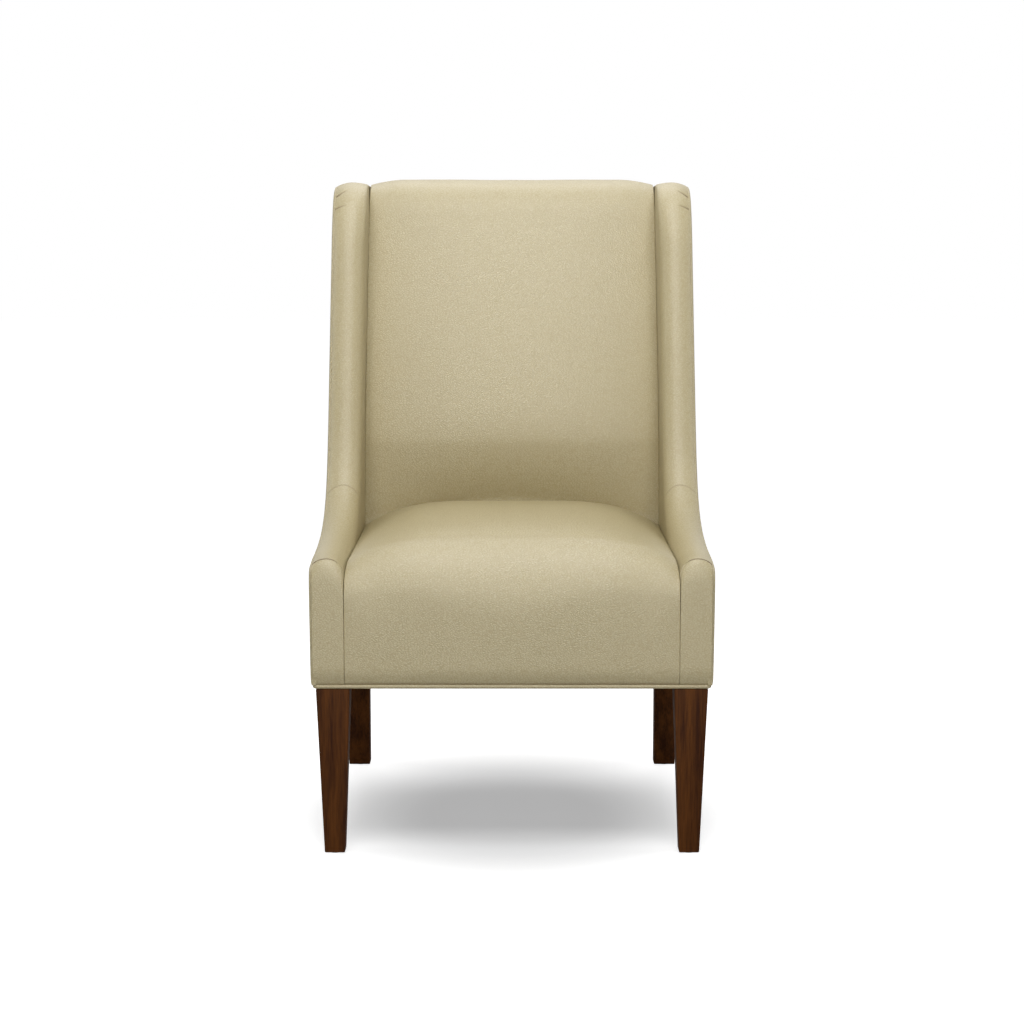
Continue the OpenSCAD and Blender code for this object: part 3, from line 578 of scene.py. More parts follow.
def wing_hidden(u, v):
    s = u * RIDGE_LENGTH
    (y, z), (into_y, into_z) = on_ridge(s)
    tuck_y, tuck_z = tuck(s)
    over = part_way(v, 0, ROLL_PART / 2)
    down = part_way(v, ROLL_PART / 2, 1)
    x = mix(PANEL_X1 - HIDDEN_IN, PANEL_X0 - HIDDEN_GAP, over) + 0 * s
    edge_y, edge_z = y + into_y * EDGE_PAD, z + into_z * EDGE_PAD
    return stack(x, mix(edge_y, tuck_y, down), mix(edge_z, tuck_z, down))


# Sewn line across the roll at the top of the swoop, and two pleats that ease the leather round
# the wing's top corner. The line arches back over the ridge. A pleat has its place along the
# ridge, how far it slants forwards towards the outside seam, the strength and the width of its
# fold, and how far outside the ridge it ends
CROSS_SEAM_S = nearest((320, 543))
CROSS_SEAM_FOLD = (0.4, 0.8)
CROSS_SEAM_ARCH = 11
CROSS_SEAM_END = -27
CROSS_SEAM_FADE = 6
PLEATS = (
    (nearest((482, 1029)), 11.6, (1.0, 1.9), 7),
    (nearest((457, 1004)), 4.6, (0.75, 1.4), 7),
)
LINES_REACH = 26
# Section of each line: a fold and a low lip beside it, as depths and in the line's own widths
FOLD_DEPTH = 1.9
LIP_RISE = 0.3
LIP_PLACE = 4.5
LIP_WIDTH = 3
# Width of the painted shade line in the seam over the arm front, and how far from there the
# wing's edge is eased
SEAM_SHADE_WIDTH = 0.9
SEAM_END = 12


def wing_lines(u, v):
    """Distance along the roll from each line, in its own widths, and how strong it is there"""
    s = u * RIDGE_LENGTH
    across, inset, _ = roll_section(s, v / ROLL_PART)
    out = across * np.where(across > 0, inset, WING_T - inset)
    on_roll = v <= ROLL_PART
    strength, width = CROSS_SEAM_FOLD
    off = s - (CROSS_SEAM_S - CROSS_SEAM_ARCH * (out / LINES_REACH) ** 2)
    yield off / width, strength * ease((out - CROSS_SEAM_END) / CROSS_SEAM_FADE) * on_roll
    for middle, slant, (strength, width), end in PLEATS:
        run = part_way(out, end, LINES_REACH)
        yield (s - (middle - slant * run)) / width, strength * run ** 0.6 * on_roll


def wing_creases(u, v):
    sunk = 0
    for off, strength in wing_lines(u, v):
        fold = FOLD_DEPTH * bell(off) - LIP_RISE * bell((off - LIP_PLACE) / LIP_WIDTH)
        sunk = sunk + strength * fold
    return sunk


# Painted shade in the seam over the arm front and along the sewn line and the pleats, where their
# folds fall into shade
def wing_marks(u, v):
    dark = arm_front_fade(v / ROLL_PART) * bell(u * RIDGE_LENGTH / SEAM_SHADE_WIDTH)
    for off, strength in wing_lines(u, v):
        dark = np.maximum(dark, strength * bell(off))
    return dark


def make_wings():
    near = [np.arange(CROSS_SEAM_S - 15, CROSS_SEAM_S + 5)]
    near += [np.arange(middle - slant - 6, middle + 9) for middle, slant, *_ in PLEATS]
    padded_pair(
        "wing_upholstery", wing_face, wing_hidden, (RIDGE_LENGTH, WING_SECTION),
        axis(RIDGE_LENGTH, 5, start=1.4, end=1.5, extra=np.concatenate(near) / RIDGE_LENGTH),
        axis(WING_SECTION, 6, start=1.2, end=1.0, extra=np.linspace(0, ROLL_PART, 46)),
        cap=1.2, fill=0.8, replaced=("wing_cover", "wing_foam"), groove=wing_creases,
        held_edge=arm_front_meets, marks=wing_marks, levels=0,
    )


# Arm fronts, which roll back towards the arm over their last few centimetres. Across, they
# follow nearly all of the roll's section
ARM_FRONT_SIZE = (60, 195)
ARM_FRONT_TURN = 30
ARM_FRONT_PART = 0.84
ARM_FRONT_SECTION = (0.985, 0.012)
ARM_FRONT_CROWN = 2
CROWN_ANGLE = 2.2


def arm_front_face(u, v):
    across, inset, depth = roll_section(0, mix(*ARM_FRONT_SECTION, u))
    reach = np.where(across > 0, inset, WING_T - inset - ARM_FLARE)
    x = HALF_W - inset + reach * across
    top = ARM_H - depth - SEAM_GAP
    flat = part_way(v, 0, ARM_FRONT_PART)
    turn = part_way(v, ARM_FRONT_PART, 1) * math.pi / 2
    z = mix(HEM_Z, top - ARM_FRONT_TURN, flat) + ARM_FRONT_TURN * np.sin(turn)
    crown = np.sin(CROWN_ANGLE * v) - math.sin(CROWN_ANGLE) * ease(v * 4 - 3)
    y = (FOLD_Y - SEAM_GAP) * (1 - np.cos(turn)) + foot_turn(z) - ARM_FRONT_CROWN * crown
    return stack(x, y, z)


def arm_front_hidden(u, v):
    face = arm_front_face(u, v)
    return stack(np.minimum(face[..., 0], PANEL_X1), FOLD_Y - HIDDEN_GAP, face[..., 2])


def arm_front_fade(v):
    """The seam over the arm front is drawn in from the outside and fades on its inner side"""
    across, _, _ = roll_section(0, v)
    return ease((across + 0.7) / 0.35)


def arm_front_meets(u, v):
    """Less draw of the wing's edge where it meets the arm front"""
    return np.where(u * RIDGE_LENGTH < SEAM_END, arm_front_fade(v / ROLL_PART), 1.0)


def wing_meets(u, v):
    """Less draw of the arm front's edge where it meets the wing"""
    return np.where(v > 0.9, arm_front_fade(mix(*ARM_FRONT_SECTION, u)), 1.0)


# Painted shade along the seam at the arm front's top and in the line just above the welt
def arm_front_marks(u, v):
    height = ARM_FRONT_SIZE[1]
    fade = arm_front_fade(mix(*ARM_FRONT_SECTION, u))
    return np.maximum(fade * bell((1 - v) * height / SEAM_SHADE_WIDTH), foot_shade(v * height) + 0 * u)


def make_arm_fronts():
    width, height = ARM_FRONT_SIZE
    padded_pair(
        "arm_front_upholstery", arm_front_face, arm_front_hidden, ARM_FRONT_SIZE,
        axis(width, 4, start=1.0, end=1.0), axis(height, 4, start=1.0, end=1.2),
        cap=1.5, fill=0.8, replaced=("arm_front_panel", "arm_front_pad"),
        held_edge=wing_meets, marks=arm_front_marks,
    )


# Outside panels: from their bottom and rear edges to the seam along the front and the top.
# Along u, the first FOOT_PART follows the bottom edge and the rest climbs the rear one
SEAM_Y0 = 1.8
REAR_GAP = 1.8
REAR_CORNER_IN = 6
PANEL_TOP_DROP = 6
FOOT_PART = 0.46
PANEL_SPAN = 420
LEAST_PADDING = 2.5
# Steps of the panel's mesh near its edges, and its height, which places the painted shade along
# its foot
PANEL_EDGE_STEPS = np.array([0.004, 0.008, 0.013, 0.019, 0.027, 0.04])
FOOT_SPAN = 330
# How the panel turns in at its edges: how far, over how long a run and how sharply. The run at
# the seam is shorter on the wing's top
FOOT_TURNS = ((1.2, 60, 1.5), (3.3, 11, 2.4))
REAR_TURN = (EDGE_TURN, 14, 2.4)
SEAM_TURN_RUNS = (8, 4)


def top_seam(s):
    (y, z), (into_y, into_z) = on_ridge(s)
    _, _, depth = roll_section(s, 0)
    return np.stack([y + into_y * depth, z + into_z * depth], axis=1)


ARM_CORNER_Z = top_seam(np.zeros(1))[0, 1]
PANEL_SEAM = eased(np.concatenate([
    [(SEAM_Y0 + 2.2, HEM_Z + 0.6), (SEAM_Y0 + 0.6, HEM_Z + 6), (SEAM_Y0, HEM_Z + 14)],
    line((SEAM_Y0, HEM_Z + 15), (SEAM_Y0, ARM_CORNER_Z - 15), 30),
    bezier((
        (SEAM_Y0, ARM_CORNER_Z - 14), (SEAM_Y0, ARM_CORNER_Z - 5),
        (SEAM_Y0 + 3, ARM_CORNER_Z - 1), (FOLD_Y + 1, ARM_CORNER_Z),
    ), 10),
    top_seam(np.linspace(4, RIDGE_LENGTH, 300)),
]), passes=4)
PANEL_SEAM_S = lengths(PANEL_SEAM)
PANEL_SEAM_LENGTH = PANEL_SEAM_S[-1]


def outside_face(u, v):
    along = u * PANEL_SEAM_LENGTH
    edge_y, edge_z = (np.interp(along, PANEL_SEAM_S, PANEL_SEAM[:, k]) for k in (0, 1))
    rise = part_way(u, FOOT_PART, 1)
    far_z = mix(HEM_Z, PANEL_SEAM[-1, 1] - PANEL_TOP_DROP, rise)
    corner_y = back_y(far_z) - REAR_CORNER_IN
    foot_end = back_y(FRAME_Z) - REAR_CORNER_IN
    foot_y = mix(SEAM_Y0 + 5, foot_end, part_way(u, 0, FOOT_PART))
    far_y = np.where(u < FOOT_PART, foot_y, back_y(far_z) - REAR_GAP)
    far_y = mix(far_y, corner_y, (1 - ease(rise * 12)) * (u >= FOOT_PART))
    span = np.hypot(edge_y - far_y, edge_z - far_z)
    y, z = mix(far_y, edge_y, v), mix(far_z, edge_z, v)
    up, down = v * span, (1 - v) * span
    foot_in = sum(fading(up, *turn) for turn in FOOT_TURNS)
    turn_in = mix(foot_in, fading(up, *REAR_TURN), ease(rise * 10))
    run = mix(*SEAM_TURN_RUNS, ease((edge_z - (WING_H - 60)) / 50))
    turn_over = fading(down, EDGE_TURN, run, 2.3)
    return stack(side_x(z) - np.maximum(turn_in, turn_over), y, z)


def outside_hidden(u, v):
    face = outside_face(u, v)
    x = np.minimum(PANEL_X1 + HIDDEN_GAP, face[..., 0] - LEAST_PADDING)
    return stack(x, face[..., 1], face[..., 2])


def short_span(u, v):
    """Less draw at the seams where the panel's corner leaves no room for it"""
    return ease(np.minimum(u, 1 - u) * PANEL_SEAM_LENGTH / 30) + 0 * v


# Painted shade along the panel's foot, just above the welt
def outside_marks(u, v):
    return foot_shade(v * FOOT_SPAN) * (u < FOOT_PART)


def make_outsides():
    edge_steps = np.concatenate([PANEL_EDGE_STEPS, 1 - PANEL_EDGE_STEPS])
    padded_pair(
        "outside_upholstery", outside_face, outside_hidden, (PANEL_SEAM_LENGTH, PANEL_SPAN),
        axis(PANEL_SEAM_LENGTH, 9, start=1.0, end=1.0),
        axis(PANEL_SPAN, 14, start=1.0, end=1.2, extra=edge_steps),
        cap=1.2, fill=0.5, replaced=("outside_panel", "side_padding"),
        held_edge=short_span, marks=outside_marks,
    )


# Seat: its front rises to a rounded nose, taller in the middle than at the sides, and its top is
# crowned. SEAT_FALL is how far the crown falls to the nose, SEAT_SWELL how far the front bulges
SEAT_SIDE_Z = SEAT_H - 56
SEAT_HALF = inner_x(SEAT_SIDE_Z) - 0.3
SEAT_NOSE_R = 66
SEAT_NOSE_H = 108
SEAT_SIDE_NOSE_H = 54
SEAT_MID_Y = SEAT_D * 0.59
SEAT_FALL = 17
SEAT_SWELL = 3
FOAM_Z = RAIL_TOP + 7.5
FOAM_REAR_Y = SEAT_D - 1.2
SEAT_FRONT_PART = 0.24
SEAT_NOSE_PART = 0.40
SEAT_RUN = 700
SEAT_FOOT_SPAN = 480


def seat_top_z(y, t):
    middle = SEAT_H - SEAT_FALL * ((y - SEAT_MID_Y) / (SEAT_MID_Y - SEAT_NOSE_R)) ** 2
    return mix(middle, SEAT_SIDE_Z, np.abs(t) ** 4.5)


def seat_face(u, v):
    t = 2 * u - 1
    nose_h = mix(SEAT_NOSE_H, SEAT_SIDE_NOSE_H, np.abs(t) ** 1.5)
    nose_z = seat_top_z(SEAT_NOSE_R, t) - nose_h
    rise = part_way(v, 0, SEAT_FRONT_PART)
    turn = part_way(v, SEAT_FRONT_PART, SEAT_NOSE_PART) * math.pi / 2
    back = part_way(v, SEAT_NOSE_PART, 1)
    bulge = SEAT_SWELL * (1 - t * t)
    front_z = mix(HEM_Z, nose_z, rise)
    front_y = foot_turn(front_z) - bulge * np.sin(rise * math.pi / 2)
    over_y = SEAT_NOSE_R * (1 - np.cos(turn)) - bulge * np.cos(turn)
    over_z = nose_z + nose_h * np.sin(turn)
    top_y = mix(SEAT_NOSE_R, SEAT_D - SEAM_GAP, back)
    top_z = seat_top_z(top_y, t)
    in_front, on_nose = v < SEAT_FRONT_PART, v < SEAT_NOSE_PART
    y = np.where(in_front, front_y, np.where(on_nose, over_y, top_y))
    z = np.where(in_front, front_z, np.where(on_nose, over_z, top_z))
    return stack(t * (SEAT_HALF + flare(y)), y, z)


def seat_hidden(u, v):
    t = 2 * u - 1
    corner = (SEAT_FRONT_PART + SEAT_NOSE_PART) / 2
    rail_y = FOLD_Y - HIDDEN_GAP
    y = np.interp(v, [0, corner, 1], [rail_y, rail_y + 0.1, FOAM_REAR_Y])
    z = np.interp(v, [0, corner, 1], [FRAME_Z, FOAM_Z, FOAM_Z])
    return stack(t * (SEAT_HALF - HIDDEN_IN), y, z)


# Painted shade along the seat's foot, just above the welt
def seat_marks(u, v):
    return foot_shade(v * SEAT_FOOT_SPAN) + 0 * u


def make_seat():
    width = 2 * SEAT_HALF
    padded_piece(
        "seat_upholstery", seat_face, seat_hidden, (width, SEAT_RUN),
        axis(width, 7, start=1.0, end=1.0), axis(SEAT_RUN, 7, start=1.0, end=2.0),
        cap=4, fill=0.9, replaced=("seat_cover", "seat_foam"), marks=seat_marks,
    )


# Inside back: a crowned face, a roll over the top rail, and a short top to the outside back.
# The crown starts at the fold over the seat and is full BACK_RISE above it
BACK_FOOT_Z = RAIL_TOP + 59
BACK_FOLD_Z = SEAT_H - 9
BACK_FOLD_FALL = 36
BACK_RISE = 165
BACK_CROWN = 31
BACK_EDGE = 10
BACK_TOP_SHARE = 0.75
BACK_ROLL_Z = CHAIR_H - 68
BACK_ROLL_LIFT = 46
BACK_ROLL_PULLS = (11, 34)
BACK_FACE_PART = 0.76
BACK_ROLL_PART = 0.90
BACK_RUN = 780
BACK_GAP = 0.25
# The back's top edge is BACK_LIFT over the solids', and falls to its corners
BACK_LIFT = 0.8
BACK_CORNER_FROM = 0.76
BACK_CORNER_FALL = 10
BACK_TOP_FALL = 10
BACK_REAR_GAP = 3.4
TOP_RAIL_RUN = 68


def back_swell(z, t):
    """Share of the crown at a height: none at the fold over the seat, which falls to its sides"""
    fold_z = BACK_FOLD_Z - BACK_FOLD_FALL * t * t
    full_z = fold_z + BACK_RISE
    up = part_way(z, fold_z, full_z)
    fade = mix(1, BACK_TOP_SHARE, part_way(z, full_z, BACK_ROLL_Z))
    return (1 - (1 - up) ** 2.4) * fade


def back_top_z(t):
    corner = part_way(np.abs(t), BACK_CORNER_FROM, 1)
    return CHAIR_H + BACK_LIFT - BACK_CORNER_FALL * corner ** 1.6


def inside_back_face(u, v):
    t = 2 * u - 1
    bulge = BACK_EDGE + (BACK_CROWN - BACK_EDGE) * (1 - np.abs(t) ** 2.4)
    face_z = mix(BACK_FOOT_Z, BACK_ROLL_Z, part_way(v, 0, BACK_FACE_PART))
    face_y = seam_y(face_z) - bulge * back_swell(face_z, t)
    roll_y = seam_y(BACK_ROLL_Z) - bulge * back_swell(BACK_ROLL_Z, t)
    top_z = back_top_z(t)
    mid_y = back_y(POST_TOP) - POST_FRONT
    over = part_way(v, BACK_FACE_PART, BACK_ROLL_PART)
    over_y = cubic(roll_y, roll_y + BACK_ROLL_PULLS[0], roll_y + BACK_ROLL_PULLS[1], mid_y, over)
    over_z = cubic(BACK_ROLL_Z, BACK_ROLL_Z + BACK_ROLL_LIFT, top_z, top_z, over)
    rear = part_way(v, BACK_ROLL_PART, 1)
    rear_y = mix(mid_y, back_y(top_z - BACK_TOP_FALL) - BACK_REAR_GAP, rear)
    rear_z = top_z - BACK_TOP_FALL * rear ** 1.8
    on_face, on_roll = v < BACK_FACE_PART, v < BACK_ROLL_PART
    y = np.where(on_face, face_y, np.where(on_roll, over_y, rear_y))
    z = np.where(on_face, face_z, np.where(on_roll, over_z, rear_z))
    return stack(t * (inner_x(z) - BACK_GAP), y, z)


def inside_back_hidden(u, v):
    t = 2 * u - 1
    rail_z = POST_TOP + HIDDEN_GAP
    z = np.interp(v, [0, BACK_FACE_PART, 1], [BACK_FOOT_Z, rail_z, rail_z + 0.1])
    y = np.where(v < BACK_FACE_PART, back_y(z), back_y(POST_TOP)) - WEBBING_FRONT
    y = y + np.interp(v, [BACK_FACE_PART, 1], [0, TOP_RAIL_RUN])
    return stack(t * (inner_x(z) - HIDDEN_IN), y, z)


def make_inside_back():
    width = 2 * SEAT_HALF
    padded_piece(
        "back_upholstery", inside_back_face, inside_back_hidden, (width, BACK_RUN),
        axis(width, 7, start=0.7, end=0.7), axis(BACK_RUN, 7, start=1.0, end=1.5),
        cap=1.6, fill=0.85, replaced=("inside_back_cover", "back_foam"),
    )


# Outside back: a thin padded panel, with its top edge a little under the rolls in front
OUTSIDE_BACK_IN = EDGE_TURN + 1.5
OUTSIDE_BACK_DROP = 1
OUTSIDE_BACK_LEAN = 1.5
OUTSIDE_BACK_FOOT = (3, 14)
OUTSIDE_BACK_T = 4.5
OUTSIDE_BACK_RUN = 770
# Steps of its mesh where its top edge follows the rolls
ROLL_STEPS = np.array([0.012, 0.025, 0.04, 0.055, 0.07, 0.09, 0.1, 0.12, 0.14])


def top_edge_z(t):
    """Height of the outside back's top edge over the width, following the rolls in front"""
    x = np.abs(t) * (side_x(WING_H) - OUTSIDE_BACK_IN)
    centre = side_x(WING_H) - INSET_TOP
    inner = inner_x(WING_H)
    reach = np.where(x > centre, INSET_TOP, centre - inner)
    fall = np.where(x > centre, *TOP_FALLS) * ((x - centre) / reach) ** 2
    wing = TOP_REAR[1] - fall
    back = back_top_z(np.minimum(x / inner, 1)) - BACK_TOP_FALL
    return np.where(x > inner + 1, wing, back) - OUTSIDE_BACK_DROP


def outside_back_face(u, v):
    t = 2 * u - 1
    top = top_edge_z(t)
    z = mix(top, HEM_Z, v)
    lean = OUTSIDE_BACK_LEAN * part_way(z, POST_TOP + 2, top)
    foot_in, foot_h = OUTSIDE_BACK_FOOT
    y = back_y(z) - lean - foot_in * (1 - ease((z - FRAME_Z) / foot_h))
    return stack(t * (side_x(z) - OUTSIDE_BACK_IN), y, z)


def outside_back_hidden(u, v):
    face = outside_back_face(u, v)
    return stack(face[..., 0] * 0.99, face[..., 1] - OUTSIDE_BACK_T, face[..., 2])


def make_outside_back():
    width = 2 * HALF_W
    sides = np.concatenate([ROLL_STEPS, 1 - ROLL_STEPS])
    padded_piece(
        "outside_back_upholstery", outside_back_face, outside_back_hidden,
        (width, OUTSIDE_BACK_RUN), axis(width, 12, start=1.5, end=1.5, extra=sides),
        axis(OUTSIDE_BACK_RUN, 12, start=1.0, end=1.0),
        cap=1.0, fill=0.5, replaced=("outside_back_panel", "outside_back_padding"),
    )


# Welt: a leather-covered cord round the bottom edge, and its flange that is tacked to the frame.
# The cord gets a little painted shade, and the flange, which fills the dark line over the cord,
# much more
WELT_R = 3.3
WELT_X = 303.8
WELT_CORNER = 5


def welt_path(inset):
    """Corner-rounded loop round the chair's bottom edge, as points at no height"""
    side = WELT_X - WELT_CORNER - inset
    front = low("welt_front").y - FRONT_Y + WELT_R + inset + WELT_CORNER
    rear = high("welt_rear").y - FRONT_Y - WELT_R - WELT_CORNER
    corners = ((-90, side, front), (0, side, rear), (90, -side, rear), (180, -side, front))
    path = []
    for start, x, y in corners:
        for angle in np.radians(np.linspace(start, start + 90, 9)):
            point = (x + WELT_CORNER * math.cos(angle), y + WELT_CORNER * math.sin(angle), 0)
            path.append(point)
    return place(path)


def make_cord(name, inset, z, radius, rise, painted_crease_shade, replaced=()):
    """A loop of round cord or, where it has a rise, of upright tape, at a height"""
    path = welt_path(inset)
    curve = bpy.data.curves.new(name, "CURVE")
    curve.dimensions = "2D"
    curve.fill_mode = "NONE"
    curve.bevel_depth = radius * MM
    curve.bevel_resolution = 6
    curve.extrude = rise * MM
    spline = curve.splines.new("POLY")
    spline.points.add(len(path) - 1)
    for point, at in zip(spline.points, path):
        point.co = (*at, 1)
    spline.use_cyclic_u = True
    piece = bpy.data.objects.new(name, curve)
    piece.location.z = z * MM
    bpy.context.scene.collection.objects.link(piece)
    select_only(piece)
    bpy.ops.object.convert(target="MESH")
    bpy.ops.object.transform_apply(location=True, rotation=True, scale=True)
    piece = bpy.context.object
    paint_crease_shade(piece, [painted_crease_shade] * len(piece.data.vertices))
    smooth(piece, 50)
    dress(piece, "leather", replaced)


def make_welt():
    make_cord(
        "welt", inset=0, z=HEM_Z - 1.8, radius=WELT_R, rise=0, painted_crease_shade=0.12,
        replaced=("welt_front", "welt_rear", "welt_left", "welt_right"),
    )
    make_cord("welt_flange", inset=2.2, z=HEM_Z - 0.3, radius=0.4, rise=1.6, painted_crease_shade=0.8)


# Legs: square walnut tapers with eased edges, and a neck inside the welt that meets the frame.
# The glides are let in, so the wood ends GLIDE_DROP lower than the solids' legs
LEG_TOP_Z = HEM_Z - 5.2
GLIDE_DROP = 1.2
LEG_EDGE = 1.8
NECK_IN = 7
# Each right-hand leg's rectangle at its top and at its foot, as (x0, x1, y0, y1)
LEG_PLANS = {
    "front": ((250, 302, 5, 57), (259.75, 291.25, 12, 43.5)),
    "rear": ((252, 296, 505, 550), (257, 294.6, 594, 628)),
}


def mirrored(plan):
    x0, x1, y0, y1 = plan
    return -x1, -x0, y0, y1


def edit_faces(piece, wanted):
    """Enters edit mode with only the faces selected that pass a test"""
    bpy.ops.object.mode_set(mode="OBJECT")
    select_only(piece)
    for face in piece.data.polygons:
        face.select = bool(wanted(face))
    for edge in piece.data.edges:
        edge.select = False
    for vertex in piece.data.vertices:
        vertex.select = False
    bpy.ops.object.mode_set(mode="EDIT")
    bpy.ops.mesh.select_mode(type="FACE")


def make_leg(name, node_name, top, foot):
    """A leg between two rectangles, with a neck on top"""
    foot_z = low(node_name).z - GLIDE_DROP

    def middle(plan, z):
        x0, x1, y0, y1 = plan
        return place([(x0 + x1) / 2, (y0 + y1) / 2, z])

    def sides(plan):
        x0, x1, y0, y1 = plan
        return x1 - x0, y1 - y0

    (top_w, top_d), (foot_w, foot_d) = sides(top), sides(foot)
    bpy.ops.mesh.primitive_plane_add(size=1, location=middle(top, LEG_TOP_Z))
    piece = bpy.context.object
    piece.name = name
    piece.scale = (top_w * MM, top_d * MM, 1)
    bpy.ops.object.transform_apply(location=True, rotation=True, scale=True)
    edit_faces(piece, lambda face: True)
    step = Vector(middle(foot, foot_z) - middle(top, LEG_TOP_Z))
    bpy.ops.mesh.extrude_region_move(TRANSFORM_OT_translate={"value": step})
    bpy.ops.transform.resize(
        value=(foot_w / top_w, foot_d / top_d, 1), center_override=Vector(middle(foot, foot_z))
    )
    bpy.ops.mesh.select_all(action="SELECT")
    bpy.ops.mesh.normals_make_consistent(inside=False)
    bpy.ops.mesh.bevel(offset=LEG_EDGE * MM, segments=3, affect="EDGES")
    edit_faces(piece, lambda face: face.normal.z > 0.99 and face.area > 1e-4)
    bpy.ops.mesh.inset(thickness=NECK_IN * MM)
    neck = Vector((0, 0, (FRAME_Z - LEG_TOP_Z) * MM))
    bpy.ops.mesh.extrude_region_move(TRANSFORM_OT_translate={"value": neck})
    bpy.ops.object.mode_set(mode="OBJECT")
    smooth(piece, 40)
    dress(piece, "walnut", (node_name,))


def make_legs():
    for side in ("left", "right"):
        for end, plans in LEG_PLANS.items():
            if side == "left":
                plans = [mirrored(plan) for plan in plans]
            make_leg(f"leg_{end}_{side}_wood", f"leg_{end}_{side}", *plans)


# Dust cover: black cambric stapled under the frame. It sags a little, and ripples at its edges
CAMBRIC_T = 0.6
CAMBRIC_SAG = 3
RIPPLE = 0.25
RIPPLES = 7
RIPPLE_REACH = 0.05


def make_dust_cover():
    x1 = high("dust_cover").x
    y0, y1 = low("dust_cover").y - FRONT_Y, high("dust_cover").y - FRONT_Y
    z = (low("dust_cover").z + high("dust_cover").z) / 2
    u, v = np.linspace(0, 1, 61)[:, None], np.linspace(0, 1, 61)[None, :]
    sag = CAMBRIC_SAG * (np.sin(math.pi * u) * np.sin(math.pi * v)) ** 0.6
    ripple = RIPPLE * np.sin(2 * math.pi * RIPPLES * u)
    ripple = ripple * np.exp(-np.minimum(v, 1 - v) / RIPPLE_REACH)
    face = stack(mix(x1, -x1, u), mix(y0, y1, v), z - sag - ripple)
    piece = grid_mesh("dust_cover_cloth", face, face + (0, 0, CAMBRIC_T))
    smooth(piece)
    dress(piece, "cambric", ("dust_cover",))


# Materials. The Mix node's sockets share their names, so they are called by their places
FACTOR = 0
NUMBER_A, NUMBER_B, NUMBER = 2, 3, 0
COLOUR_A, COLOUR_B, COLOUR = 6, 7, 2


def linear(code):
    """An sRGB hex colour as linear RGBA"""
    parts = [int(code[k:k + 2], 16) / 255 for k in (1, 3, 5)]
    return [c / 12.92 if c <= 0.04045 else ((c + 0.055) / 1.055) ** 2.4 for c in parts] + [1]


def node(tree, kind, inputs=None, **settings):
    """Adds a node, sets it and its inputs, links those given as sockets, returns its outputs"""
    added = tree.nodes.new("ShaderNode" + kind)
    for name, value in settings.items():
        setattr(added, name, value)
    for name, value in (inputs or {}).items():
        if isinstance(value, bpy.types.NodeSocket):
            tree.links.new(value, added.inputs[name])
        else:
            added.inputs[name].default_value = value
    return added.outputs


def new_material(name):
    """A material without nodes, and its tree"""
    material = bpy.data.materials.new(name)
    material.use_nodes = True
    material.node_tree.nodes.clear()
    return material, material.node_tree


def per_metre(size_mm):
    """The scale of a pattern that repeats once in this many millimetres"""
    return 1000 / size_mm


# Pigmented cowhide, drum dyed and embossed with a pebble grain, under a satin topcoat that
# gives broad, soft highlights. The pebbles are about 4.5 by 2.2 mm, longest sideways, with fine
# creases that hold more colour between them. Sewn lines and pleats carry painted shade, darker
# still, and are duller
LEATHER = ("#aa9e79", "#b2a884")
PEBBLE_CREASE = "#a1936c"
PAINTED_SEAM_SHADE = "#4a3209"


def leather_material():
    material, tree = new_material("pebbled_leather")
    place_at = node(tree, "TexCoord")["Object"]
    drift = node(tree, "TexNoise", {"Vector": place_at, "Scale": per_metre(8), "Detail": 2.0})
    bent = node(tree, "VectorMath", {0: drift["Color"], 1: [0.003] * 3}, operation="MULTIPLY")
    grain_at = node(tree, "VectorMath", {0: place_at, 1: bent["Vector"]}, operation="ADD")
    grain_at = node(tree, "Mapping", {"Vector": grain_at["Vector"], "Scale": (0.62, 1, 1.3)})
    edges = node(
        tree, "TexVoronoi", {"Vector": grain_at["Vector"], "Scale": per_metre(2.8)},
        feature="DISTANCE_TO_EDGE",
    )
    pebble = node(
        tree, "MapRange", {"Value": edges["Distance"], "From Max": 0.28},
        interpolation_type="SMOOTHSTEP",
    )["Result"]
    pores = {"Vector": place_at, "Scale": per_metre(1.2), "Detail": 3.0}
    pores = node(tree, "TexNoise", pores)["Fac"]
    height = node(tree, "Math", {0: pores, 1: 0.3, 2: pebble}, operation="MULTIPLY_ADD")["Value"]
    bump = node(tree, "Bump", {"Strength": 0.4, "Distance": 0.0006, "Height": height})["Normal"]
    cloudy = {"Vector": place_at, "Scale": per_metre(70), "Detail": 3.0}
    cloudy = node(tree, "TexNoise", cloudy)["Fac"]
    dark, light = (linear(code) for code in LEATHER)
    colour = node(
        tree, "Mix", {FACTOR: cloudy, COLOUR_A: dark, COLOUR_B: light}, data_type="RGBA"
    )[COLOUR]
    colour = node(
        tree, "Mix", {FACTOR: pebble, COLOUR_A: linear(PEBBLE_CREASE), COLOUR_B: colour},
        data_type="RGBA",
    )[COLOUR]
    # Painted shade: the points' crease shade mixes in a dark colour where seams, pleats and the
    # line over the welt fall into shade, and makes the leather duller there
    painted_crease_shade = node(tree, "Attribute", attribute_name="painted_crease_shade")["Fac"]
    colour = node(
        tree, "Mix", {FACTOR: painted_crease_shade, COLOUR_A: colour, COLOUR_B: linear(PAINTED_SEAM_SHADE)},
        data_type="RGBA",
    )[COLOUR]
    gloss = node(tree, "MapRange", {"Value": cloudy, "To Min": 0.38, "To Max": 0.46})["Result"]
    gloss = node(
        tree, "Mix", {FACTOR: painted_crease_shade, NUMBER_A: gloss, NUMBER_B: 0.9}, data_type="FLOAT"
    )[NUMBER]
    shader = node(tree, "BsdfPrincipled", {
        "Base Color": colour, "Roughness": gloss, "IOR": 1.5, "Specular IOR Level": 0.9,
        "Normal": bump,
    })["BSDF"]
    node(tree, "OutputMaterial", {"Surface": shader})
    return material


# Solid walnut, stained dark and oiled: fine brown streaks run down the leg under a low sheen
WALNUT = ("#301606", "#553010")


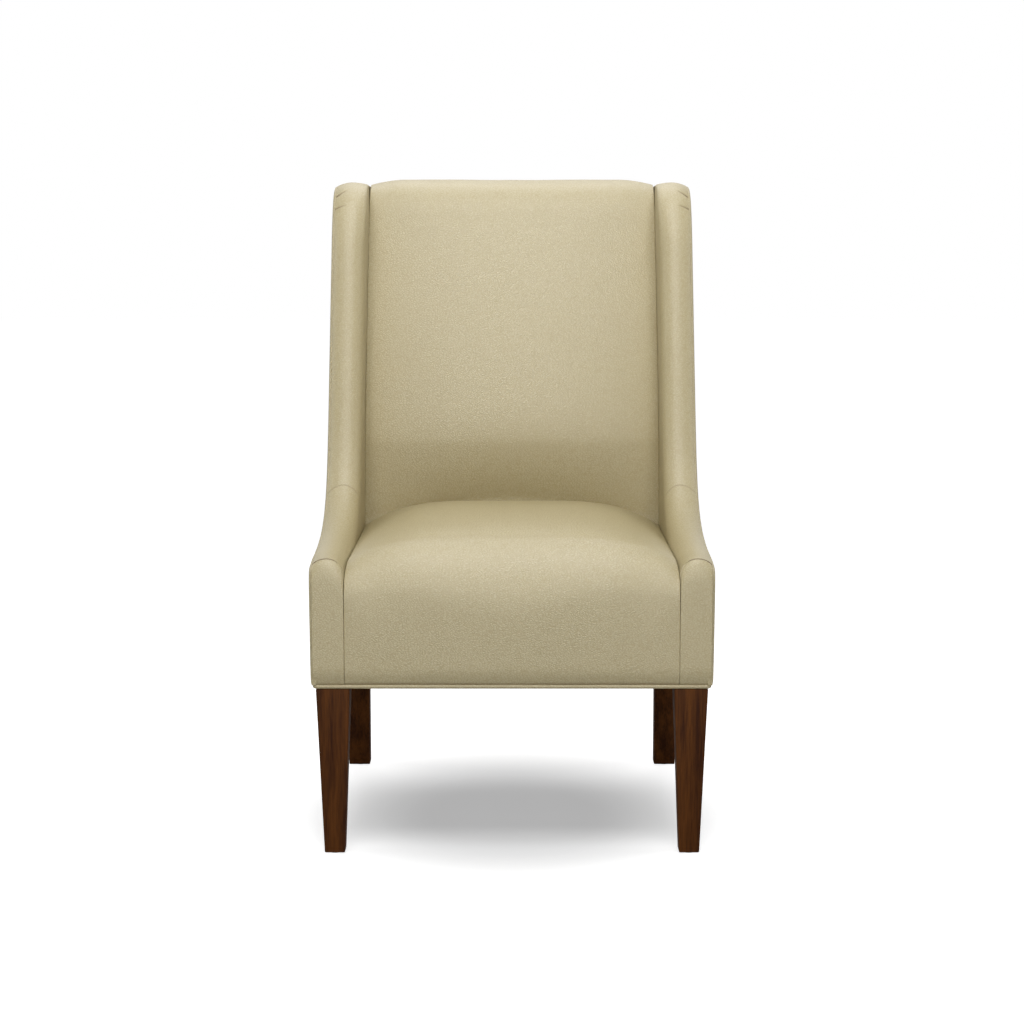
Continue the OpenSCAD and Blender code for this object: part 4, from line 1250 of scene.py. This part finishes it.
def walnut_material():
    material, tree = new_material("dark_walnut")
    place_at = node(tree, "TexCoord")["Object"]
    along = node(tree, "Mapping", {"Vector": place_at, "Scale": (1, 1, 0.06)})["Vector"]
    streaks = {"Vector": along, "Scale": per_metre(2.2), "Detail": 5.0}
    streaks = node(tree, "TexNoise", streaks)["Fac"]
    bands = node(tree, "TexNoise", {"Vector": along, "Scale": per_metre(14), "Detail": 2.0})
    figure = node(
        tree, "Math", {0: streaks, 1: 0.6, 2: bands["Fac"]}, operation="MULTIPLY_ADD"
    )["Value"]
    spread = node(tree, "MapRange", {"Value": figure, "From Min": 0.6, "From Max": 1.0})
    dark, light = (linear(code) for code in WALNUT)
    colour = node(
        tree, "Mix", {FACTOR: spread["Result"], COLOUR_A: dark, COLOUR_B: light},
        data_type="RGBA",
    )[COLOUR]
    bump = node(tree, "Bump", {"Strength": 0.25, "Distance": 0.0002, "Height": streaks})["Normal"]
    gloss = node(tree, "MapRange", {"Value": streaks, "To Min": 0.46, "To Max": 0.6})["Result"]
    shader = node(tree, "BsdfPrincipled", {
        "Base Color": colour, "Roughness": gloss, "IOR": 1.5, "Specular IOR Level": 0.08,
        "Normal": bump,
    })["BSDF"]
    node(tree, "OutputMaterial", {"Surface": shader})
    return material


# A plain finish with a soft grain, for the pieces that the leather hides
def hidden_material(name, dark, light, size_mm, stretch, roughness, metallic=0.0):
    material, tree = new_material(name)
    place_at = node(tree, "TexCoord")["Object"]
    along = node(tree, "Mapping", {"Vector": place_at, "Scale": stretch})["Vector"]
    grain = {"Vector": along, "Scale": per_metre(size_mm), "Detail": 4.0}
    grain = node(tree, "TexNoise", grain)["Fac"]
    colour = node(
        tree, "Mix", {FACTOR: grain, COLOUR_A: linear(dark), COLOUR_B: linear(light)},
        data_type="RGBA",
    )[COLOUR]
    bump = node(tree, "Bump", {"Strength": 0.3, "Distance": 0.0003, "Height": grain})["Normal"]
    shader = node(tree, "BsdfPrincipled", {
        "Base Color": colour, "Roughness": roughness, "Metallic": metallic, "Normal": bump,
    })["BSDF"]
    node(tree, "OutputMaterial", {"Surface": shader})
    return material


EVEN = (1, 1, 1)
MATERIALS = {
    "leather": leather_material(),
    "walnut": walnut_material(),
    "beech": hidden_material("planed_beech", "#b98f62", "#d2ae80", 3, (0.08, 1, 1), 0.6),
    "plywood": hidden_material("sawn_plywood", "#c09c6b", "#dcbf90", 5, (1, 0.3, 0.3), 0.7),
    "foam": hidden_material("polyether_foam", "#e3d49a", "#f1e6b8", 0.8, EVEN, 0.95),
    "batting": hidden_material("polyester_batting", "#e6e3da", "#f7f5ef", 2, EVEN, 1.0),
    "steel": hidden_material("zinc_plated_steel", "#8f9498", "#b9bec2", 4, EVEN, 0.35, 1.0),
    "webbing": hidden_material("woven_webbing", "#54452f", "#7d6a4e", 1.5, EVEN, 0.9),
    "cambric": hidden_material("black_cambric", "#1f1f21", "#343437", 0.9, EVEN, 0.95),
    "nylon": hidden_material("moulded_nylon", "#151517", "#242427", 6, EVEN, 0.5),
}


def dress_frame():
    """Gives every CAD node the material of its slot"""
    for part in frame["record"]["subparts"]:
        piece = frame["nodes"][part["node"]]
        piece.data.materials.clear()
        piece.data.materials.append(MATERIALS[part["material_slot"]])


# Studio: the floor is white to the camera except round the chair, where its glow is weaker and
# paints a soft shadow over the real one that the lamps cast
SHADOW_MIDDLE_Y = 250
SHADOW_REACH = (500, 615)
SHADOW_GLOW = 0.29
SHADOW_FADE_FROM = 0.25
FLOOR_COLOUR = (0.6, 0.6, 0.6, 1)
WHITE = (1, 1, 1, 1)


def make_floor():
    bpy.ops.mesh.primitive_plane_add(size=40, location=(0, 0, 0))
    floor = bpy.context.object
    floor.name = "studio_floor"
    material, tree = new_material("pale_floor")
    middle = tuple(place([0, SHADOW_MIDDLE_Y, 0]))
    reach = [1 / (side * MM) for side in SHADOW_REACH] + [0]
    away = node(tree, "TexCoord")["Object"]
    away = node(tree, "VectorMath", {0: away, 1: middle}, operation="SUBTRACT")["Vector"]
    away = node(tree, "VectorMath", {0: away, 1: reach}, operation="MULTIPLY")["Vector"]
    away = node(tree, "VectorMath", {0: away}, operation="LENGTH")["Value"]
    # Painted shadow: the glow falls off towards a middle under the seat
    strength = node(tree, "MapRange", {
        "Value": away, "From Min": SHADOW_FADE_FROM, "From Max": 1.0,
        "To Min": SHADOW_GLOW, "To Max": 1.0,
    }, interpolation_type="SMOOTHSTEP")["Result"]
    path = node(tree, "LightPath")
    diffuse = node(tree, "BsdfDiffuse", {"Color": FLOOR_COLOUR})["BSDF"]
    glow = node(tree, "Emission", {"Color": WHITE, "Strength": strength})["Emission"]
    seen = node(tree, "MixShader", {FACTOR: path["Is Camera Ray"], 2: glow})["Shader"]
    surface = node(tree, "AddShader", {0: diffuse, 1: seen})["Shader"]
    node(tree, "OutputMaterial", {"Surface": surface})
    floor.data.materials.append(material)


# The world lights the chair only faintly, but is white where it is seen
WORLD_LIGHT = 0.02


def make_world():
    world = bpy.data.worlds.new("studio")
    bpy.context.scene.world = world
    world.use_nodes = True
    tree = world.node_tree
    tree.nodes.clear()
    path = node(tree, "LightPath")
    seen = path["Is Camera Ray"]
    for kind in ("Is Glossy Ray", "Is Transmission Ray"):
        seen = node(tree, "Math", {0: seen, 1: path[kind]}, operation="MAXIMUM")["Value"]
    strength = node(
        tree, "Mix", {FACTOR: seen, NUMBER_A: WORLD_LIGHT, NUMBER_B: 1.0}, data_type="FLOAT"
    )[NUMBER]
    sky = node(tree, "Background", {"Color": WHITE, "Strength": strength})["Background"]
    node(tree, "OutputWorld", {"Surface": sky})


# Softboxes: name, place, the point that each is turned to, size in metres and watts
SOFTBOXES = (
    ("overhead_softbox", (0, -850, 2500), (0, 250, 600), (1.6, 1.0), 37),
    ("front_softbox", (0, -3400, 1300), (0, 200, 600), (2.4, 1.6), 55),
    ("rear_softbox", (0, 1300, 2500), (0, 250, 500), (1.6, 1.2), 17),
    ("left_softbox", (-2400, 200, 1300), (0, 250, 500), (1.4, 1.8), 14),
    ("right_softbox", (2400, 200, 1300), (0, 250, 500), (1.4, 1.8), 14),
)


def make_lights():
    for name, spot, aim, size, watts in SOFTBOXES:
        bpy.ops.object.light_add(type="AREA", location=place(spot))
        lamp = bpy.context.object
        lamp.name = name
        lamp.data.shape = "RECTANGLE"
        lamp.data.size, lamp.data.size_y = size
        lamp.data.energy = watts
        turn_to = Vector(place(aim)) - lamp.location
        lamp.rotation_euler = turn_to.to_track_quat("-Z", "Y").to_euler()
        lamp.visible_camera = False


make_camera()
make_world()
make_lights()
make_floor()
dress_frame()
make_wings()
make_arm_fronts()
make_outsides()
make_seat()
make_inside_back()
make_outside_back()
make_welt()
make_legs()
make_dust_cover()

bpy.context.scene.view_settings.view_transform = "Standard"
